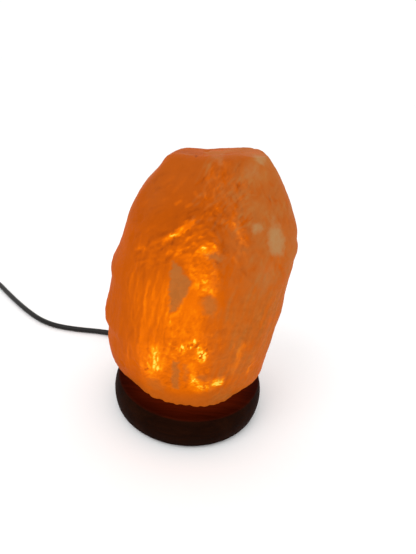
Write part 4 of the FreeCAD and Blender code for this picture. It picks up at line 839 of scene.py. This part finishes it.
def metal(name, colour, rough=(0.22, 0.42), brushed=(1.0, 1.0, 0.05), tarnish=0.25):
    """Metal with drawn or rolled lines and a little tarnish."""
    g = Graph(name)
    p = g.place()
    lines = g.noise(g.vec("MULTIPLY", p, tuple(6.0 * c for c in brushed)), 1.0, 3.0, 0.6)
    stain = g.noise(p, 0.35, 3.0, 0.6)
    shade = g.ramp(g.math("MULTIPLY_ADD", lines, 0.3, g.math("MULTIPLY", stain, 0.7)),
                   [(0.3, times(colour, 1 - tarnish)), (0.7, colour)])
    g.set(Base_Color=shade, Metallic=1.0, Roughness=g.span(lines, 0.3, 0.7, *rough), Normal=g.bump(lines, 0.02, 0.5))
    return g.mat


def glass(name, tint, painted_glow):
    g = Graph(name)
    p = g.place()
    seeds = g.noise(p, 0.5, 3.0, 0.6)
    # the glass carries a painted glow: a faint warm emission that stands in for the filament's light in it
    g.set(Base_Color=g.mix(seeds, tint, times(tint, 0.96)), Roughness=g.span(seeds, 0.4, 0.7, 0.02, 0.08), IOR=1.46,
          Transmission_Weight=1.0, Emission_Color=g.mix(seeds, painted_glow, times(painted_glow, 0.8)), Emission_Strength=1.0)
    return g.mat


def lead_material():
    g = Graph("black_flex_sheath")
    p = g.place()
    fine = g.noise(p, 1.1, 3.0, 0.6)
    rub = g.noise(p, 0.045, 4.0, 0.65)
    shade = g.ramp(rub, [(0.3, (0.0062, 0.0048, 0.0040)), (0.6, (0.0105, 0.0082, 0.0068)), (0.75, (0.017, 0.0135, 0.0112))])
    g.set(Base_Color=shade, Roughness=g.span(rub, 0.3, 0.7, 0.34, 0.48), Specular_IOR_Level=0.22,
          Normal=g.bump(fine, 0.05, 0.6))
    return g.mat


def filament_material():
    g = Graph("glowing_tungsten")
    p = g.place()
    wound = g.math("SINE", g.math("MULTIPLY", g.split(p)[0], 14.0))
    hot = g.ramp(g.span(wound, -1.0, 1.0), [(0.0, (1.0, 0.42, 0.08)), (1.0, (1.0, 0.75, 0.35))])
    g.set(Base_Color=g.mix(g.span(wound, -1, 1), (0.3, 0.2, 0.1), (0.5, 0.35, 0.2)), Emission_Color=hot,
          Emission_Strength=12.0, Roughness=0.5, Normal=g.bump(wound, 0.1))
    return g.mat


def board_material():
    g = Graph("circuit_board")
    p = g.place()
    x, y, z = g.split(p)[:3]
    weave = g.math("MULTIPLY", g.math("SINE", g.math("MULTIPLY", x, 7.0)), g.math("SINE", g.math("MULTIPLY", y, 7.0)))
    tracks = g.span(g.noise(g.vec("SNAP", p, (2.2, 2.2, 2.2)), 0.5, 1.0), 0.5, 0.52)
    shade = g.mix(tracks, (0.16, 0.10, 0.03), (0.23, 0.17, 0.05))
    g.set(Base_Color=g.mix(g.span(weave, -1, 1), shade, times((0.2, 0.13, 0.04), 0.8)), Roughness=g.span(weave, -1, 1, 0.4, 0.5),
          Normal=g.bump(tracks, 0.05))
    return g.mat


wood = wood_material()
sheath = lead_material()
black = moulded("black_moulded_plastic", (0.016, 0.0155, 0.015), rough=(0.36, 0.5), grain=2.2, deep=0.06)
rubber = moulded("matt_black_rubber", (0.014, 0.0135, 0.013), rough=(0.55, 0.75), grain=1.8, deep=0.08, shine=0.25)
feet_rubber = moulded("grey_rubber", (0.035, 0.034, 0.033), rough=(0.6, 0.8), grain=1.4, deep=0.08, shine=0.25)
nylon = moulded("grey_nylon", (0.36, 0.37, 0.38), rough=(0.4, 0.55), deep=0.04)
ivory = moulded("heat_proof_plastic", (0.66, 0.63, 0.56), rough=(0.4, 0.55), deep=0.04, wear=0.08)
steel = metal("zinc_plated_steel", (0.62, 0.63, 0.64))
spring = metal("spring_steel", (0.42, 0.43, 0.46), rough=(0.25, 0.45), brushed=(1.0, 1.0, 0.1))
brass = metal("brass", (0.78, 0.55, 0.24), brushed=(0.3, 0.3, 1.0))
nickel = metal("nickel_plate", (0.74, 0.72, 0.67), rough=(0.16, 0.32), brushed=(1.0, 1.0, 0.3), tarnish=0.15)
bulb_glass = glass("bulb_clear_glass", (0.97, 0.95, 0.90), (0.10, 0.045, 0.010))
black_glass = moulded("black_glass", (0.01, 0.01, 0.012), rough=(0.08, 0.16), deep=0.01, shine=0.5)
tungsten = filament_material()
board = board_material()
component = moulded("component_plastic", (0.03, 0.03, 0.04), rough=(0.45, 0.6))
blue_part = moulded("film_capacitor", (0.05, 0.10, 0.32), rough=(0.3, 0.45))
core_blue = moulded("core_sheath", (0.03, 0.08, 0.30), rough=(0.4, 0.55))
core_brown = moulded("core_sheath_brown", (0.16, 0.06, 0.025), rough=(0.4, 0.55))

LOOKS = {
    "wooden_base": wood, "rubber_feet": feet_rubber, "base_screws": steel, "nylon_plugs": nylon, "holder_barrel": ivory,
    "holder_cover": ivory, "cover_screws": steel, "socket_shell": brass, "centre_contact": brass, "side_contact": brass,
    "spring_clips": spring, "terminal_blocks": brass, "terminal_screws": steel, "cord_grip": nylon, "grip_screws": steel,
    "bulb_foot_contact": nickel, "bulb_insulator": black_glass, "bulb_cap": nickel, "bulb_glass": bulb_glass,
    "bulb_stem": bulb_glass, "bulb_lead_wires": nickel, "bulb_filament": tungsten, "strain_relief_sleeve": rubber,
    "dimmer_case_low": black, "dimmer_case_up": black, "dimmer_screws": steel, "dimmer_board": board,
    "potentiometer": component, "dimmer_triac": component, "dimmer_capacitor": blue_part, "dimmer_dial": black,
    "plug_body": black, "plug_pins": nickel, "plug_tail": rubber, "lead_in_base": sheath, "lead_cores": core_blue,
    "coil_tie": black, "salt_crystal": salt.data.materials[0], "lead_lamp_side": sheath, "lead_coil_side": sheath,
    "lead_plug_side": sheath, "lead_coil": sheath,
}
for name, obj in NODES.items():
    obj.data.materials.clear()
    obj.data.materials.append(LOOKS[name])
for obj in (lead_a, lead_b):
    obj.data.materials.append(sheath)


# ------------------------------------------------------------------ small pieces
# the stretch of lead inside the base, a straight round tube along the diagonal
inner_lead = tube_along(
    "mains_lead_in_base",
    [(-(6.8 + 65.0 * k / 40) / math.sqrt(2), (6.8 + 65.0 * k / 40) / math.sqrt(2), 6.0) for k in range(41)], LEAD_R, 20,
)
inner_lead.data.materials.append(sheath)
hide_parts("lead_in_base")
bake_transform(inner_lead)


def tie_band():
    """A flat tie drawn round the bundle of turns."""
    turn_at = math.radians(60.0)
    spots = np.array(TURNS_AT)
    ways = np.linspace(0, 2 * math.pi, 73)[:-1]
    unit = np.stack([np.cos(ways), np.sin(ways)], 1)
    middle = spots.mean(0)
    b = bmesh.new()
    loops = []
    for off, half in ((2.62, 2.0), (3.06, 2.0)):
        # the outline is the furthest reach of the round turns in each direction
        rim = []
        for w in unit:
            rel = spots - middle
            best = 0.0
            for s in rel:
                along = s @ w
                side = abs(s[0] * w[1] - s[1] * w[0])
                if side < off:
                    best = max(best, along + math.sqrt(off * off - side * side))
            rim.append(best)
        rim = np.array(rim)
        pts = middle + unit * rim[:, None]
        # the band is stretched straight across the hollows between turns
        hull = hull_of(pts)
        loops.append((resample(hull, 72), half))
    rings = []
    out = Vector((math.cos(turn_at), math.sin(turn_at), 0))
    along = Vector((-math.sin(turn_at), math.cos(turn_at), 0))
    base = Vector((COIL_AT[0], COIL_AT[1], 0))
    for (loop, half) in loops:
        for s in (-half, half):
            rings.append([b.verts.new((base + out * float(r) + Vector((0, 0, float(z))) + along * s) * MM) for r, z in loop])
    inner_a, inner_b, outer_a, outer_b = rings
    n = len(inner_a)
    for u, v in ((inner_a, inner_b), (inner_b, outer_b), (outer_b, outer_a), (outer_a, inner_a)):
        for k in range(n):
            b.faces.new((u[k], u[(k + 1) % n], v[(k + 1) % n], v[k]))
    bmesh.ops.recalc_face_normals(b, faces=b.faces)
    mesh = bpy.data.meshes.new("coil_tie_band")
    b.to_mesh(mesh)
    b.free()
    mesh.polygons.foreach_set("use_smooth", [True] * len(mesh.polygons))
    return add(bpy.data.objects.new("coil_tie_band", mesh))


def hull_of(points):
    pts = sorted(map(tuple, points))
    def half(seq):
        h = []
        for q in seq:
            while len(h) > 1 and (h[-1][0] - h[-2][0]) * (q[1] - h[-2][1]) - (h[-1][1] - h[-2][1]) * (q[0] - h[-2][0]) <= 0:
                h.pop()
            h.append(q)
        return h
    low, high = half(pts), half(pts[::-1])
    return np.array(low[:-1] + high[:-1])


def resample(loop, n):
    closed = np.vstack([loop, loop[:1]])
    run = np.concatenate([[0], np.cumsum(np.hypot(*np.diff(closed, axis=0).T))])
    at = np.linspace(0, run[-1], n + 1)[:-1]
    return np.stack([np.interp(at, run, closed[:, k]) for k in (0, 1)], 1)


tie = tie_band()
tie.data.materials.append(black)
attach(tie, "lamp")
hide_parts("coil_tie")


def softened(name, node, voxel, rounds, material):
    """A CAD part's form with its edges rounded as a mould leaves them."""
    obj = remeshed(name, NODES[node], voxel)
    p = read_points(obj.data)
    p = relaxed(p, edge_lists(obj.data), np.full(len(p), 0.6), rounds)
    write_points(obj.data, p)
    obj.data.materials.append(material)
    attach(obj, "lamp")
    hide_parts(node)
    return obj


plug = softened("plug_moulding", "plug_body", 0.5, 5, black)


# ------------------------------------------------------------------ floor and light
def floor():
    g = Graph("pale_floor")
    p = g.place()
    g.set(Base_Color=g.mix(g.noise(p, 0.004, 2.0), (0.965, 0.965, 0.965), (0.98, 0.98, 0.98)), Roughness=g.span(g.noise(p, 0.05), 0.3, 0.7, 0.75, 0.85),
          Specular_IOR_Level=0.1)
    mesh = bpy.data.meshes.new("floor")
    s = 60.0
    mesh.from_pydata([(-s, -s, 0), (s, -s, 0), (s, s, 0), (-s, s, 0)], [], [(0, 1, 2, 3)])
    obj = add(bpy.data.objects.new("floor", mesh))
    mesh.materials.append(g.mat)


def area_light(name, at, to, size, power, colour=(1, 1, 1)):
    data = bpy.data.lights.new(name, "AREA")
    data.shape, data.size, data.energy, data.color = "DISK", size, power, colour
    obj = add(bpy.data.objects.new(name, data))
    obj.location = at
    obj.rotation_euler = (Vector(to) - Vector(at)).to_track_quat("-Z", "Y").to_euler()


floor()
world = bpy.data.worlds.new("studio")
world.use_nodes = True
sky = next(n for n in world.node_tree.nodes if n.type == "BACKGROUND")
sky.inputs["Color"].default_value = (1.0, 1.0, 1.0, 1.0)
sky.inputs["Strength"].default_value = 1.04
scene.world = world
area_light("softbox", (-0.9, -0.9, 1.7), (0, 0, 0.1), 1.2, 9.0)
scene.view_settings.view_transform = "Standard"
scene.view_settings.look = "None"
scene.view_settings.exposure = 0.0
scene.view_settings.gamma = 1.0

bpy.context.view_layer.update()
